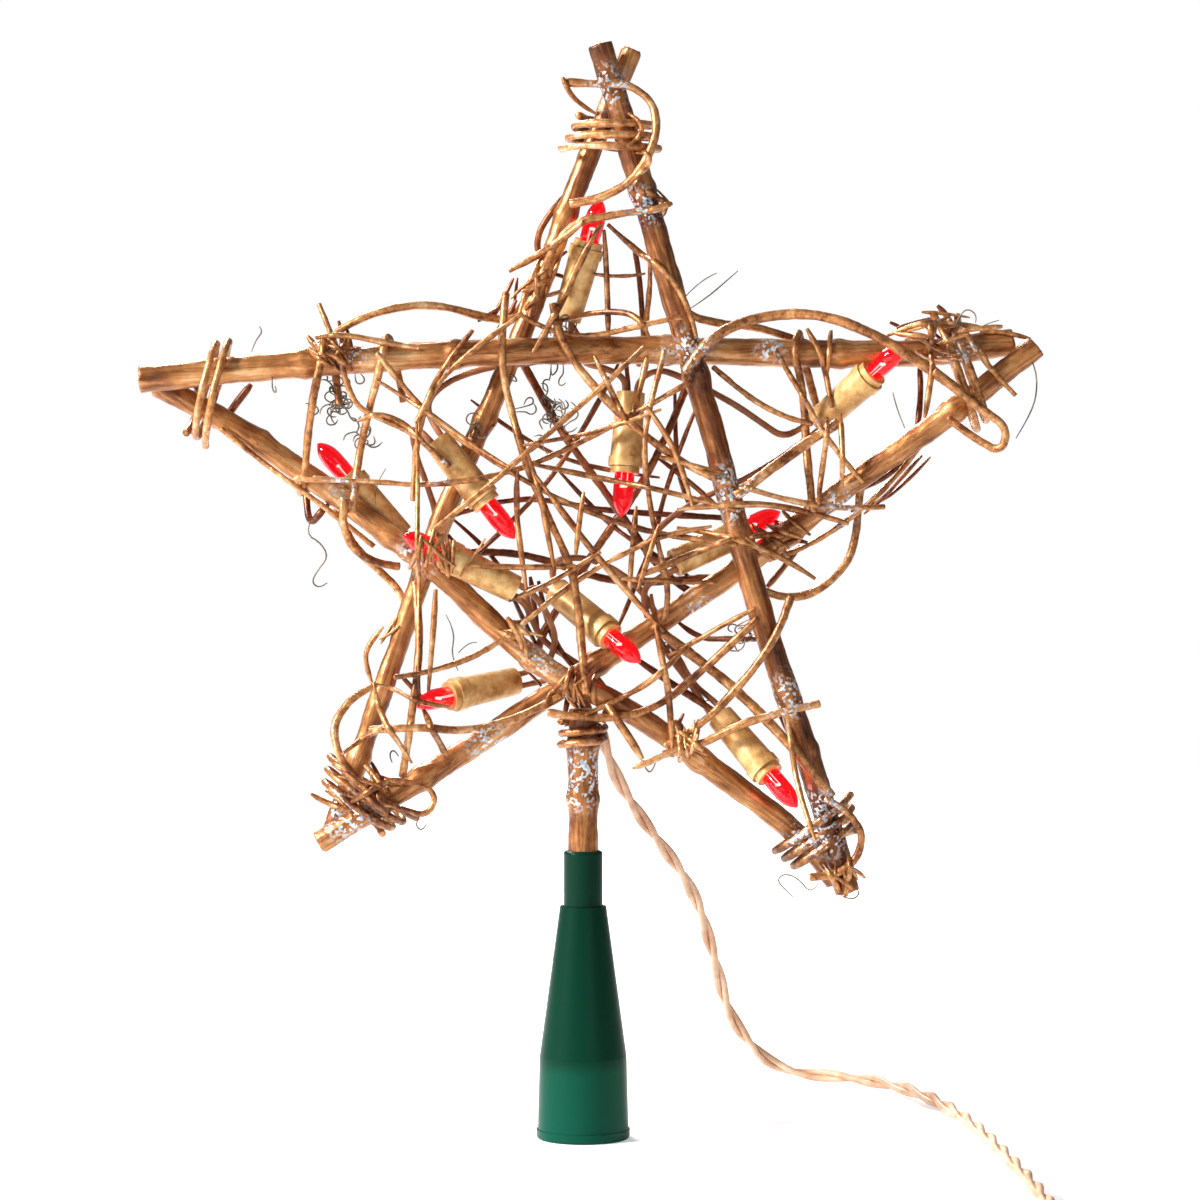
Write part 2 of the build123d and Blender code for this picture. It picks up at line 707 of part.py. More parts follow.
# One light in its own frame: the mouth of the holder at the origin, the bulb pulling out along Z
cavity_radius = base_diameter / 2 + base_fit
hole_radius = wire_diameter / 2 + wire_fit
holder = turned(
    (0, -holder_length),
    (holder_rear_diameter / 2, -holder_length),
    (holder_diameter / 2, -collar_height),
    (collar_diameter / 2, -collar_height),
    (collar_diameter / 2, 0),
    (0, 0),
)
holder -= Pos(0, 0, -cavity_depth / 2) * Cylinder(cavity_radius, cavity_depth)
slot_depth = contact_thickness + 2 * contact_fit
slot_width = contact_width + 2 * contact_fit
slot_height = cavity_depth - contact_top_gap
contact_height = slot_height - contact_fit
contacts = []
for sign in (-1, 1):
    middle = sign * (cavity_radius + slot_depth) / 2
    slot = Box(cavity_radius + slot_depth, slot_width, slot_height)
    holder -= Pos(middle, 0, -cavity_depth + slot_height / 2) * slot
    hole_length = holder_length - cavity_depth
    hole_place = Pos(sign * wire_hole_spacing / 2, 0, -cavity_depth - hole_length / 2)
    holder -= hole_place * Cylinder(hole_radius, hole_length)
    outer = cavity_radius + contact_fit + contact_thickness
    strip_place = Pos(sign * (outer - contact_thickness / 2), 0, -cavity_depth + contact_height / 2)
    strip = strip_place * Box(contact_thickness, contact_width, contact_height)
    foot_place = Pos(sign * (outer - contact_foot / 2), 0, -cavity_depth + contact_thickness / 2)
    contacts.append(strip + foot_place * Box(contact_foot, contact_width, contact_thickness))


def envelope(tail_radius, radius, bottom, shoulder_start, shoulder, tip):
    # A bulb shape: a straight tail, a straight body and a pointed round end
    angle = math.radians(bulge_angle)
    bulge_radius = bulb_point_radius + (radius - bulb_point_radius) * math.cos(angle)
    bulge = (bulge_radius, shoulder + (tip - shoulder) * math.sin(angle))
    point = (bulb_point_radius, tip)
    tail = [(tail_radius, bottom), (tail_radius, shoulder_start)]
    body = [(radius, shoulder_start), (radius, shoulder)]
    sides = Polyline(point, (0, tip), (0, bottom), *tail, *body)
    edges = [sides, ThreePointArc((radius, shoulder), bulge, point)]
    return revolve(Plane.XZ * make_face(edges), Axis.Z)


seat = flange_height + seat_gap
base = Pos(0, 0, seat_gap - base_length / 2) * Cylinder(base_diameter / 2, base_length)
base += Pos(0, 0, seat_gap + flange_height / 2) * Cylinder(flange_diameter / 2, flange_height)
base_floor = seat_gap - base_length
tail_bottom = seat_gap - bulb_tail_depth
bore_height = seat - tail_bottom
base_bore_radius = bulb_tail_diameter / 2 + bulb_tail_fit
base -= Pos(0, 0, tail_bottom + bore_height / 2) * Cylinder(base_bore_radius, bore_height)
body_start = seat + seat_gap
glass = envelope(bulb_tail_diameter / 2, bulb_diameter / 2, tail_bottom + seat_gap, body_start,
                 bulb_shoulder_height, bulb_tip_height)
glass -= envelope(bulb_tail_diameter / 2 - bulb_wall, bulb_diameter / 2 - bulb_wall, tail_bottom + bulb_floor,
                  body_start + bulb_wall, bulb_shoulder_height, bulb_tip_height - bulb_wall)
filament_length = lead_in_height - base_floor
filament = Pos(0, 0, bead_height) * Sphere(bead_diameter / 2)
filament += Pos(0, 0, lead_in_height) * Rot(0, 90, 0) * Cylinder(filament_diameter / 2, lead_in_spacing)
filament += Pos(0, 0, bead_height) * Rot(0, 90, 0) * Cylinder(bead_diameter / 2, lead_in_spacing)
for sign in (-1, 1):
    lead_place = Pos(sign * lead_in_spacing / 2, 0, base_floor + filament_length / 2)
    filament += lead_place * Cylinder(lead_in_diameter / 2, filament_length)
    passage = lead_place * Cylinder(lead_in_diameter / 2 + lead_in_fit, filament_length)
    base -= passage
    glass -= passage

# Lights in their places, each as deep as it must lie to clear the sticks and its neighbours
light_frames = []
stations = np.arange(-holder_length, bulb_tip_height + pull_travel, sample_step)
flange_reach = flange_height + pull_travel
taper = (holder_diameter - holder_rear_diameter) / 2 / holder_length
tapered_radii = holder_diameter / 2 + taper * stations
holder_radii = np.where(stations < -collar_height, tapered_radii, collar_diameter / 2)
bulb_radii = np.where(stations < flange_reach, flange_diameter / 2, bulb_diameter / 2)
light_radii = np.where(stations < 0, holder_radii, bulb_radii)
light_owners = []
for number, (mouth, ahead, lean, side) in enumerate(lights, start=1):
    x, z = spot(mouth)
    flat = unit(spot(ahead) - spot(mouth))
    tilt = math.radians(lean)
    heading = np.array([flat[0] * math.cos(tilt), -math.sin(tilt), flat[1] * math.cos(tilt)])
    out = 0.0
    for station, radius in zip(stations, light_radii):
        point = np.array([x, 0, z]) + heading * station
        out = max(out, clear_outward(point[0], point[2], radius, side) - side * point[1])
    origin = np.array([x, side * out, z])
    frame = Plane(origin=tuple(origin), x_dir=(-flat[1], 0, flat[0]), z_dir=tuple(heading))
    light_frames.append(frame)
    light_owners.append(len(owner_names))
    add_to_pile(f"light_{number:02d}", [origin + heading * station for station in stations], light_radii)
    save(f"lamp_holder_{number:02d}", frame.location * holder)
    save(f"bulb_base_{number:02d}", frame.location * base)
    save(f"bulb_{number:02d}", frame.location * glass, frame.location * filament)
    print("light", number, "mouth", np.round(origin, 2).tolist(),
          "pulls along", np.round(heading, 4).tolist())
save("holder_contacts", *[frame.location * strip for frame in light_frames for strip in contacts])

# Lead: out behind the stem, down to the floor and round to its coil
lead_radius = lead_diameter / 2
x, z = spot(lead_exit_pixel)
lead_start = np.array([x, stem_diameter / 2 + binding_diameter + laying_gap + lead_radius + lead_gap, z])
coil_floor = lead_radius + coil_lift
lead_points = [lead_start]
for x_share, y_share, height_share in lead_shares:
    height = coil_floor + height_share * star_span
    lead_points.append(np.array([x_share * star_span, y_share * star_span, height]))
coil_start = lead_points[-1] + np.array([0, -coil_distance, 0])
coil_centre = coil_start + np.array([-coil_outer_radius, 0, 0])
lead_points.append(coil_start + np.array([0, lead_diameter, 0]))
lead, lead_line, bend = tube(lead_points, lead_diameter)
save("lead_cord", lead)
lead_length = float(np.linalg.norm(np.diff(lead_line, axis=0), axis=1).sum())
print("lead length", round(lead_length, 1), "bends", np.round(bends(tidy(lead_points)), 1).tolist())
print("lead volume over section times length",
      round(lead.volume / (math.pi * lead_radius ** 2 * lead_length), 4))

# Coil: spirals in on the floor, climbs a layer in the half turn where it reverses, then spirals out
coil_points = [coil_start + np.array([0, lead_diameter, 0])]
all_turns = coil_turns_in + coil_turns_up + coil_turns_out
grow = 1 / math.cos(math.pi / corners_per_turn)
for step in range(round(all_turns * corners_per_turn)):
    turn = (step + 0.5) / corners_per_turn
    if turn < coil_turns_in:
        radius = coil_outer_radius - coil_pitch * step / corners_per_turn
        height = 0
    elif turn < coil_turns_in + coil_turns_up:
        climb = (turn - coil_turns_in) / coil_turns_up
        radius = coil_outer_radius - coil_pitch * coil_turns_in - coil_dip * math.sin(math.pi * climb)
        height = coil_pitch * climb
    else:
        radius = coil_outer_radius - coil_pitch * (2 * coil_turns_in + coil_turns_up - turn)
        height = coil_pitch
    angle = -2 * math.pi * turn
    shift = np.array([radius * grow * math.cos(angle), radius * grow * math.sin(angle), height])
    coil_points.append(coil_centre + shift)
end_radius = coil_outer_radius - coil_pitch * (coil_turns_in - coil_turns_out)
coil_end = coil_centre + np.array([0, -end_radius, coil_pitch])
plug_z = plug_height / 2
coil_points.append(coil_end + np.array([-tail_length / 3, 0, 0]))
plug_rear = np.array([coil_end[0] - tail_length - relief_length, coil_end[1], plug_z])
coil_points.append(plug_rear + np.array([relief_length + tail_length / 3, 0, 0]))
coil_points.append(plug_rear + np.array([-relief_bore_depth, 0, 0]))
coil, coil_line, bend = tube(coil_points, lead_diameter)
save("cord_coil", coil)
coil_length = float(np.linalg.norm(np.diff(coil_line, axis=0), axis=1).sum())
print("coil gap to itself", round(own_gap(coil_line, lead_diameter), 2), "least bend", round(bend, 2))
print("coil length", round(coil_length, 1), "whole cord", round(lead_length + coil_length, 1))
print("coil volume over section times length",
      round(coil.volume / (math.pi * lead_radius ** 2 * coil_length), 4))

# Tie round the coil
inner_edge = coil_outer_radius - coil_pitch * coil_turns_in - coil_dip - lead_radius - tie_gap
outer_edge = coil_outer_radius * grow + lead_radius + tie_gap
tie_inside = outer_edge - inner_edge
tie_clear_height = coil_lift + coil_pitch + lead_diameter + tie_gap - tie_thickness
tie_height = tie_clear_height + 2 * tie_thickness
tie = Pos(0, 0, tie_height / 2) * Box(tie_inside + 2 * tie_thickness, tie_width, tie_height)
tie -= Pos(0, 0, tie_height / 2) * Box(tie_inside, tie_width, tie_clear_height)
tie += Pos((tie_inside + tie_head) / 2 + tie_thickness, 0, tie_height / 2) * Box(tie_head, tie_head, tie_head)
tie_axis = Pos(float(coil_centre[0]), float(coil_centre[1]), 0)
tie_place = tie_axis * Rot(0, 0, tie_angle) * Pos((inner_edge + outer_edge) / 2, 0, 0)
save("cord_tie", tie_place * tie)

# Plug in its own frame: the rear face at the origin, the blades along X
plug = Pos(plug_length / 2, 0, plug_z) * Box(plug_length, plug_width, plug_height)
plug = fillet(plug.edges().filter_by(Axis.Z), plug_round)
plug = fillet(plug.edges().group_by(Axis.Z)[0], plug_edge_round)
plug += Pos(-relief_length / 2, 0, plug_z) * Rot(0, 90, 0) * Cylinder(relief_diameter / 2, relief_length)
bore_length = relief_length + relief_bore_depth
bore_middle = relief_bore_depth - bore_length / 2
plug -= Pos(bore_middle, 0, plug_z) * Rot(0, 90, 0) * Cylinder(lead_radius + cord_fit, bore_length)
for row in range(grip_count):
    for sign in (-1, 1):
        groove = Pos(plug_round + grip_pitch * (row + 1), sign * plug_width / 2, plug_z)
        plug -= groove * Box(grip_groove, grip_groove, plug_height)
recess_length = plug_length - door_start
recess_middle = door_start + recess_length / 2
recess_depth = door_thickness + door_fit
recess = Box(recess_length, door_width + 2 * door_fit, recess_depth)
plug -= Pos(recess_middle, 0, plug_height - recess_depth / 2) * recess
groove_z = plug_height - door_thickness / 2
groove_width = door_width + 2 * door_tongue + 2 * door_fit
groove_height = door_tongue_thickness + 2 * door_fit
plug -= Pos(recess_middle, 0, groove_z) * Box(recess_length, groove_width, groove_height)
fuse_length = fuse_glass_length + 2 * fuse_cap_length
pocket_length = fuse_length + 2 * fuse_fit
pocket_width = fuse_spacing + fuse_diameter + 2 * fuse_fit
pocket_depth = fuse_diameter + 2 * fuse_fit
pocket_top = plug_height - recess_depth
pocket_middle = fuse_start + fuse_length / 2
plug -= Pos(pocket_middle, 0, pocket_top - pocket_depth / 2) * Box(pocket_length, pocket_width, pocket_depth)
blades = []
blade_reach = blade_length + blade_seat
blade_middle = plug_length - blade_seat + blade_reach / 2
for sign in (-1, 1):
    blade_place = Pos(blade_middle, sign * blade_spacing / 2, plug_z)
    blade = blade_place * Box(blade_reach, blade_thickness, blade_width)
    hole_place = Pos(plug_length + blade_length - blade_hole_inset, sign * blade_spacing / 2, plug_z)
    blades.append(blade - hole_place * Rot(90, 0, 0) * Cylinder(blade_hole / 2, blade_width))
    slot = Box(blade_reach + 2 * blade_fit, blade_thickness + 2 * blade_fit, blade_width + 2 * blade_fit)
    plug -= blade_place * slot
door_length = recess_length - door_fit - door_front_gap
door_middle = door_start + door_fit + door_length / 2
door = Pos(door_middle, 0, plug_height - door_thickness / 2) * Box(door_length, door_width, door_thickness)
tongue = Box(door_length, door_width + 2 * door_tongue, door_tongue_thickness)
door += Pos(door_middle, 0, groove_z) * tongue
for row in range(door_rib_count):
    rib_offset = (row - (door_rib_count - 1) / 2) * door_rib_pitch
    rib_place = Pos(door_middle + rib_offset, 0, plug_height + door_rib / 2)
    door += rib_place * Box(door_rib_width, door_width - 2 * door_tongue, door_rib)
fuses = []
for sign in (-1, 1):
    fuse_z = pocket_top - fuse_fit - fuse_diameter / 2
    fuse_place = Pos(fuse_start, sign * fuse_spacing / 2, fuse_z) * Rot(0, 90, 0)
    glass_middle = fuse_cap_length + fuse_glass_length / 2
    fuses.append(fuse_place * Pos(0, 0, glass_middle) * Cylinder(fuse_glass_diameter / 2, fuse_glass_length))
    for end in (fuse_cap_length / 2, fuse_length - fuse_cap_length / 2):
        fuses.append(fuse_place * Pos(0, 0, end) * Cylinder(fuse_diameter / 2, fuse_cap_length))
plug_frame = Pos(float(plug_rear[0]), float(plug_rear[1]), 0) * Rot(0, 0, 180)
save("plug_body", plug_frame * plug)
save("plug_blades", *[plug_frame * blade for blade in blades])
save("plug_fuses", *[plug_frame * piece for piece in fuses])
save("fuse_door", plug_frame * door)
print("plug rear", np.round(plug_rear, 2).tolist(), "fuse door slides along -X")

# String wires: from each holder's rear along the back of the star to the next, and to the lead
first_run = unit(lead_points[1] - lead_points[0])
beside = unit(np.cross(first_run, np.array([0, 1, 0])))


def plug_in(light, sign):
    # Where a wire ends in a holder, and where it comes out behind it
    if light is None:
        offset = beside * sign * (wire_diameter + pair_gap) / 2
        return [lead_start + offset, lead_start + offset - first_run * wire_lead_out]
    location = light_frames[light].location
    places = []
    for station in (-cavity_depth - wire_fit, -holder_length - wire_lead_out):
        place = (location * Pos(sign * wire_hole_spacing / 2, 0, station)).position
        places.append(np.array([place.X, place.Y, place.Z]))
    return places


def sideways(light, stop):
    # How far a stop lies to the side of the holder or the lead that a wire ends in
    x, z = spot(stop)
    if light is None:
        return float(np.dot(np.array([x, 0, z]) - lead_start, beside))
    return light_frames[light].to_local_coords(Vector(x, 0, z)).X


arriving = {reaches: sideways(reaches, stops[-1]) for leaves, reaches, stops in wire_routes}
leaving = {leaves: sideways(leaves, stops[0]) for leaves, reaches, stops in wire_routes}
wires = []
for number, (leaves, reaches, stops) in enumerate(wire_routes):
    start = plug_in(leaves, 1 if leaving[leaves] > arriving[leaves] else -1)
    end = plug_in(reaches, 1 if arriving[reaches] > leaving[reaches] else -1)[::-1]
    own = [light_owners[light] for light in (leaves, reaches) if light is not None]
    corners = lay(stops, wire_diameter, back, start, end, own)
    solid, line, bend = tube(corners, wire_diameter)
    add_to_pile(f"wire_{number:02d}", line, wire_diameter / 2)
    wires.append(solid)
    print("wire", number, "least bend", round(bend, 2))
save("string_wires", *wires)

# Vines
add_to_pile("lead_cord", lead_line, lead_radius)
groups = {}
for number, (node, diameter, side, stops) in enumerate(vines):
    solid, line, bend = tube(lay(stops, diameter, side), diameter)
    add_to_pile(f"{node}_{number:02d}", line, diameter / 2)
    groups.setdefault(node, []).append(solid)
    depths = np.round([line[:, 1].min(), line[:, 1].max()], 1).tolist()
    print("vine", number, node, "least bend", round(bend, 2), "depth", depths)
for node, solids in groups.items():
    save(node, *solids)

# Least gaps between neighbouring pieces of the pile
for owner in range(len(owner_names)):
    mine = pile_owners == owner
    for other in range(owner + 1, len(owner_names)):
        theirs = pile_owners == other
        between = np.linalg.norm(pile_points[mine][:, None] - pile_points[theirs][None], axis=2)
        gap = float((between - pile_radii[mine][:, None] - pile_radii[theirs][None]).min())
        if gap < laying_gap / 2:
            print("close", owner_names[owner], owner_names[other], round(gap, 2))
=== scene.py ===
import json
import math
import random
import bpy
from mathutils import Matrix, Vector
from mathutils.bvhtree import BVHTree


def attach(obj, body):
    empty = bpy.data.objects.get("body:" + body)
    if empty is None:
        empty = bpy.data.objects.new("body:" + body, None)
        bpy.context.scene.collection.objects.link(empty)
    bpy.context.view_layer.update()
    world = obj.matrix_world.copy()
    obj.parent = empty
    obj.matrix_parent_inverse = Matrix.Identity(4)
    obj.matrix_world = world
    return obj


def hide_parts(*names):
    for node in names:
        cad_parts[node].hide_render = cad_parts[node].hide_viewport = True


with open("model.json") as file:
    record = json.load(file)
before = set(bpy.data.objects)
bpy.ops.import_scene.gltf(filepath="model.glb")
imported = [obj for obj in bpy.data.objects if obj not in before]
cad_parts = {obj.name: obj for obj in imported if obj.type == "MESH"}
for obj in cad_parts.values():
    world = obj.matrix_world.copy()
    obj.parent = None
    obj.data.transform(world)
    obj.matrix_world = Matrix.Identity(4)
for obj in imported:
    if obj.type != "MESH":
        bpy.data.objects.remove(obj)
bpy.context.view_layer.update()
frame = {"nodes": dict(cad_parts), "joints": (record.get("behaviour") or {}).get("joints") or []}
nodes = frame["nodes"]
bpy.ops.object.select_all(action="DESELECT")
print("stage: frame loaded, nodes", len(nodes))

perMetre = 1000.0  # millimetres in a metre: pieces are in metres, grain and widths are given in millimetres
front, back = -1, 1  # the two sides of the star, along Y

# the photograph's scale, so that strands can be placed by its columns and rows
photo = {"pixel": 0.228 / 895, "axisColumn": 583, "floorRow": 1141}


def place(column, row, depth=0.0):
    across = (column - photo["axisColumn"]) * photo["pixel"]
    return Vector((across, depth, (photo["floorRow"] - row) * photo["pixel"]))


# camera at the photograph's angle, long lens, a little above the middle of the star
view = {"spot": (0.0043, -1.0, 0.170), "tiltDown": 1.86, "lens": 117.9, "sensor": 36, "nearest": 0.01}
bpy.ops.object.camera_add(location=view["spot"], rotation=(math.radians(90 - view["tiltDown"]), 0, 0))
camera = bpy.context.object
camera.data.lens = view["lens"]
camera.data.sensor_width = view["sensor"]
camera.data.clip_start = view["nearest"]
bpy.context.scene.camera = camera

# white sweep and three round lamps: key from the left, a weak fill from the right, a rim from behind
studio = {
    "floorSize": 2.4,
    "surround": 0.22,
    "floorGlow": 0.36,
    "aim": (0, 0, 0.15),
    "lamps": [
        ("keyLight", (-1.25, -0.55, 0.85), 0.4, 46.0),
        ("fillLight", (0.7, -1.5, 0.6), 1.0, 2.4),
        ("rimLight", (-0.4, 1.0, 1.0), 0.35, 17.0),
    ],
}
bpy.context.scene.view_settings.view_transform = "Standard"


def srgb(code):
    shares = [int(code[i:i + 2], 16) / 255 for i in (1, 3, 5)]
    return tuple(s / 12.92 if s <= 0.04045 else ((s + 0.055) / 1.055) ** 2.4 for s in shares) + (1.0,)


def addNode(tree, kind, sockets=None, stops=(), **settings):
    node = tree.nodes.new(kind)
    for name, value in settings.items():
        setattr(node, name, value)
    for name, value in (sockets or {}).items():
        if isinstance(value, bpy.types.NodeSocket):
            tree.links.new(value, node.inputs[name])
        else:
            node.inputs[name].default_value = value
    if stops:
        elements = node.color_ramp.elements
        while len(elements) < len(stops):
            elements.new(0.5)
        for element, (position, shade) in zip(elements, stops):
            element.position = position
            element.color = srgb(shade) if isinstance(shade, str) else (shade, shade, shade, 1)
    return node


def newMaterial(name, sockets):
    material = bpy.data.materials.new(name)
    material.use_nodes = True
    shader = material.node_tree.nodes["Principled BSDF"]
    for key, value in sockets.items():
        shader.inputs[key].default_value = value
    return material, material.node_tree, shader


world = bpy.data.worlds.new("studioWorld")
bpy.context.scene.world = world
world.use_nodes = True
tree = world.node_tree
background = tree.nodes["Background"]
background.inputs["Color"].default_value = (1, 1, 1, 1)
rays = addNode(tree, "ShaderNodeLightPath")  # the backdrop is white, but lights the star more softly
level = addNode(tree, "ShaderNodeMath", {
    0: rays.outputs["Is Camera Ray"], 1: 1.0 - studio["surround"], 2: studio["surround"],
}, operation="MULTIPLY_ADD")
tree.links.new(level.outputs[0], background.inputs["Strength"])
for name, spot, size, power in studio["lamps"]:
    bpy.ops.object.light_add(type="AREA", location=spot)
    lamp = bpy.context.object
    lamp.name = name
    lamp.data.shape = "DISK"
    lamp.data.size = size
    lamp.data.energy = power
    lamp.rotation_euler = (Vector(studio["aim"]) - Vector(spot)).to_track_quat("-Z", "Y").to_euler()

bpy.ops.mesh.primitive_plane_add(size=studio["floorSize"], location=(0, 0, 0))
floor = bpy.context.object
floor.name = "paperFloor"
paper, tree, shader = newMaterial("white paper sweep", {  # an even matt white that fades into the backdrop
    "Base Color": srgb("#FAFAFA"), "Roughness": 0.9, "Emission Color": (1, 1, 1, 1)})
rays = addNode(tree, "ShaderNodeLightPath")  # lifted to white, without lighting the star from below
lift = addNode(tree, "ShaderNodeMath", {
    0: rays.outputs["Is Camera Ray"], 1: studio["floorGlow"]}, operation="MULTIPLY")
tree.links.new(lift.outputs[0], shader.inputs["Emission Strength"])
floor.data.materials.append(paper)
print("stage: camera, light and floor")

# gold spray paint over bark: metallic flake on a fibrous skin, its tone drifting at random in patches, darker
# in the grain's hollows as painted shade and paler on its ridges as painted highlight, with specks of silver
# frost where they are brushed on, and a darker copy for the strands at the back as painted shade; patch and
# flake in millimetres
goldPaint = {
    "metallic": 0.6, "coat": 0.25, "coatRoughness": 0.25, "patch": 16, "flake": 0.7, "bareShare": 0.66,
    "reliefStrength": 0.4, "reliefDepth": 0.0005,
    "sheen": [(0.3, 0.48), (0.7, 0.24)],
    "frost": [(0.0, "#8FA9BE"), (0.5, "#D7DEE4"), (1.0, "#F3F3EE")],
    "sawnEdge": [(0.80, 0), (0.9, 1)],
    "sawnWood": [(0.35, "#8E6236"), (0.6, "#DDB887")],
    # ramp stops run from a painted shade through the gold to a painted highlight, spread by grain and patch
    # noise
    "twig": [(0.30, "#2C160A"), (0.42, "#7E451D"), (0.54, "#C28349"), (0.67, "#F4CE9A")],
    "vine": [(0.30, "#2A140A"), (0.42, "#78421C"), (0.53, "#C4864E"), (0.66, "#F4D0A0")],
    # a darker copy of the vine ramp for the strands at the back: painted shade
    "shadedBack": [(0.30, "#1E0C06"), (0.42, "#54260F"), (0.54, "#8A4A22"), (0.69, "#BA7A44")],
}


def paintedBark(name, angle, grain, stops, cutEnds=None):
    material, tree, shader = newMaterial(name, {
        "Metallic": goldPaint["metallic"], "Coat Weight": goldPaint["coat"],
        "Coat Roughness": goldPaint["coatRoughness"]})
    where = addNode(tree, "ShaderNodeTexCoord")
    along = addNode(tree, "ShaderNodeMapping", {
        "Vector": where.outputs["Object"], "Rotation": (0, angle, 0),
        "Scale": [size / perMetre for size in grain]}, vector_type="TEXTURE")
    fibre = addNode(tree, "ShaderNodeTexNoise", {
        "Vector": along.outputs["Vector"], "Scale": 1.0, "Detail": 7.0, "Roughness": 0.68, "Distortion": 0.3})
    patch = addNode(tree, "ShaderNodeTexNoise", {
        "Vector": where.outputs["Object"], "Scale": perMetre / goldPaint["patch"], "Detail": 5.0,
        "Roughness": 0.6})
    both = addNode(tree, "ShaderNodeMath", {
        0: fibre.outputs["Fac"], 1: patch.outputs["Fac"]}, operation="ADD")
    halved = addNode(tree, "ShaderNodeMath", {0: both.outputs[0], 1: 0.5}, operation="MULTIPLY")
    # the gold ramp follows the fibre grain that the relief also sinks: its dark end sits in the hollows as
    # painted shade and its pale end on the ridges as painted highlight, with random patches mixed in
    gold = addNode(tree, "ShaderNodeValToRGB", {"Fac": halved.outputs[0]}, stops)
    flakes = addNode(tree, "ShaderNodeTexVoronoi", {
        "Vector": where.outputs["Object"], "Scale": perMetre / goldPaint["flake"], "Randomness": 1.0})
    shades = addNode(tree, "ShaderNodeSeparateColor", {"Color": flakes.outputs["Color"]})
    chosen = addNode(tree, "ShaderNodeMath", {
        0: shades.outputs["Red"], 1: goldPaint["bareShare"]}, operation="GREATER_THAN")
    brushed = addNode(tree, "ShaderNodeAttribute", attribute_name="frost")
    mask = addNode(tree, "ShaderNodeMath", {
        0: chosen.outputs[0], 1: brushed.outputs["Fac"]}, operation="MULTIPLY")
    tint = addNode(tree, "ShaderNodeValToRGB", {"Fac": shades.outputs["Blue"]}, goldPaint["frost"])
    frosted = addNode(tree, "ShaderNodeMix", {
        "Factor": mask.outputs[0], 6: gold.outputs["Color"], 7: tint.outputs["Color"]}, data_type="RGBA")
    colour = frosted.outputs[2]
    if cutEnds is not None:  # bare pale wood where the stick was sawn off
        facing = addNode(tree, "ShaderNodeVectorMath", {
            0: where.outputs["Normal"], 1: cutEnds}, operation="DOT_PRODUCT")
        square = addNode(tree, "ShaderNodeMath", {0: facing.outputs["Value"]}, operation="ABSOLUTE")
        sawn = addNode(tree, "ShaderNodeValToRGB", {"Fac": square.outputs[0]}, goldPaint["sawnEdge"])
        pale = addNode(tree, "ShaderNodeValToRGB", {"Fac": fibre.outputs["Fac"]}, goldPaint["sawnWood"])
        ended = addNode(tree, "ShaderNodeMix", {
            "Factor": sawn.outputs["Color"], 6: colour, 7: pale.outputs["Color"]}, data_type="RGBA")
        colour = ended.outputs[2]
    tree.links.new(colour, shader.inputs["Base Color"])
    sheen = addNode(tree, "ShaderNodeValToRGB", {"Fac": fibre.outputs["Fac"]}, goldPaint["sheen"])
    tree.links.new(sheen.outputs["Color"], shader.inputs["Roughness"])
    relief = addNode(tree, "ShaderNodeBump", {
        "Height": fibre.outputs["Fac"], "Strength": goldPaint["reliefStrength"],
        "Distance": goldPaint["reliefDepth"]})
    tree.links.new(relief.outputs["Normal"], shader.inputs["Normal"])
    return material


# a colour that drifts over the piece, its grain in millimetres, and a skin: grain, detail, strength and depth
def driftingColour(name, sockets, grain, detail, stops, coarseness=0.5, skin=None):
    material, tree, shader = newMaterial(name, sockets)
    where = addNode(tree, "ShaderNodeTexCoord")
    drift = addNode(tree, "ShaderNodeTexNoise", {
        "Vector": where.outputs["Object"], "Scale": perMetre / grain, "Detail": detail,
        "Roughness": coarseness})
    tone = addNode(tree, "ShaderNodeValToRGB", {"Fac": drift.outputs["Fac"]}, stops)
    tree.links.new(tone.outputs["Color"], shader.inputs["Base Color"])
    if skin:
        skinGrain, skinDetail, strength, depth = skin
        grit = addNode(tree, "ShaderNodeTexNoise", {
            "Vector": where.outputs["Object"], "Scale": perMetre / skinGrain, "Detail": skinDetail,
            "Roughness": coarseness})
        relief = addNode(tree, "ShaderNodeBump", {
            "Height": grit.outputs["Fac"], "Strength": strength, "Distance": depth})
        tree.links.new(relief.outputs["Normal"], shader.inputs["Normal"])
    return material


# silver frost: brushed on the front in dabs, at these columns and rows, each with its reach in millimetres
frost = {
    "strength": 1.6, "fade": 4, "frontOf": 0.004,
    "dabs": [
        (610, 92, 4), (585, 772, 5), (578, 790, 4), (596, 782, 3), (820, 805, 4), (827, 838, 4),
        (738, 492, 4), (727, 503, 4), (832, 412, 4), (690, 350, 4), (345, 815, 5), (352, 352, 4),
        (790, 692, 4), (784, 706, 3), (440, 470, 3), (545, 650, 5), (486, 742, 4), (730, 478, 3),
        (345, 486, 3), (420, 556, 4), (672, 352, 3), (638, 204, 3), (648, 214, 3), (700, 610, 3),
        (840, 508, 4), (770, 350, 3), (958, 350, 3), (800, 836, 3),
    ],
}
frostSpots = [(place(column, row), reach / perMetre) for column, row, reach in frost["dabs"]]


def selectOnly(piece):
    bpy.ops.object.select_all(action="DESELECT")
    piece.select_set(True)
    bpy.context.view_layer.objects.active = piece


def applyModifier(piece, kind, **settings):
    selectOnly(piece)
    modifier = piece.modifiers.new(kind.lower(), kind)
    for name, value in settings.items():
        setattr(modifier, name, value)
    bpy.ops.object.modifier_apply(modifier=modifier.name)


def cloudTexture(name, size, depth):
    texture = bpy.data.textures.new(name, "CLOUDS")
    texture.noise_scale = size
    texture.noise_depth = depth
    return texture


lumps = cloudTexture("barkLumps", 0.0075, 2)
wrinkles = cloudTexture("barkWrinkles", 0.0017, 3)


def swell(piece, texture, height):
    applyModifier(piece, "DISPLACE", texture=texture, strength=height, mid_level=0.5, texture_coords="LOCAL")


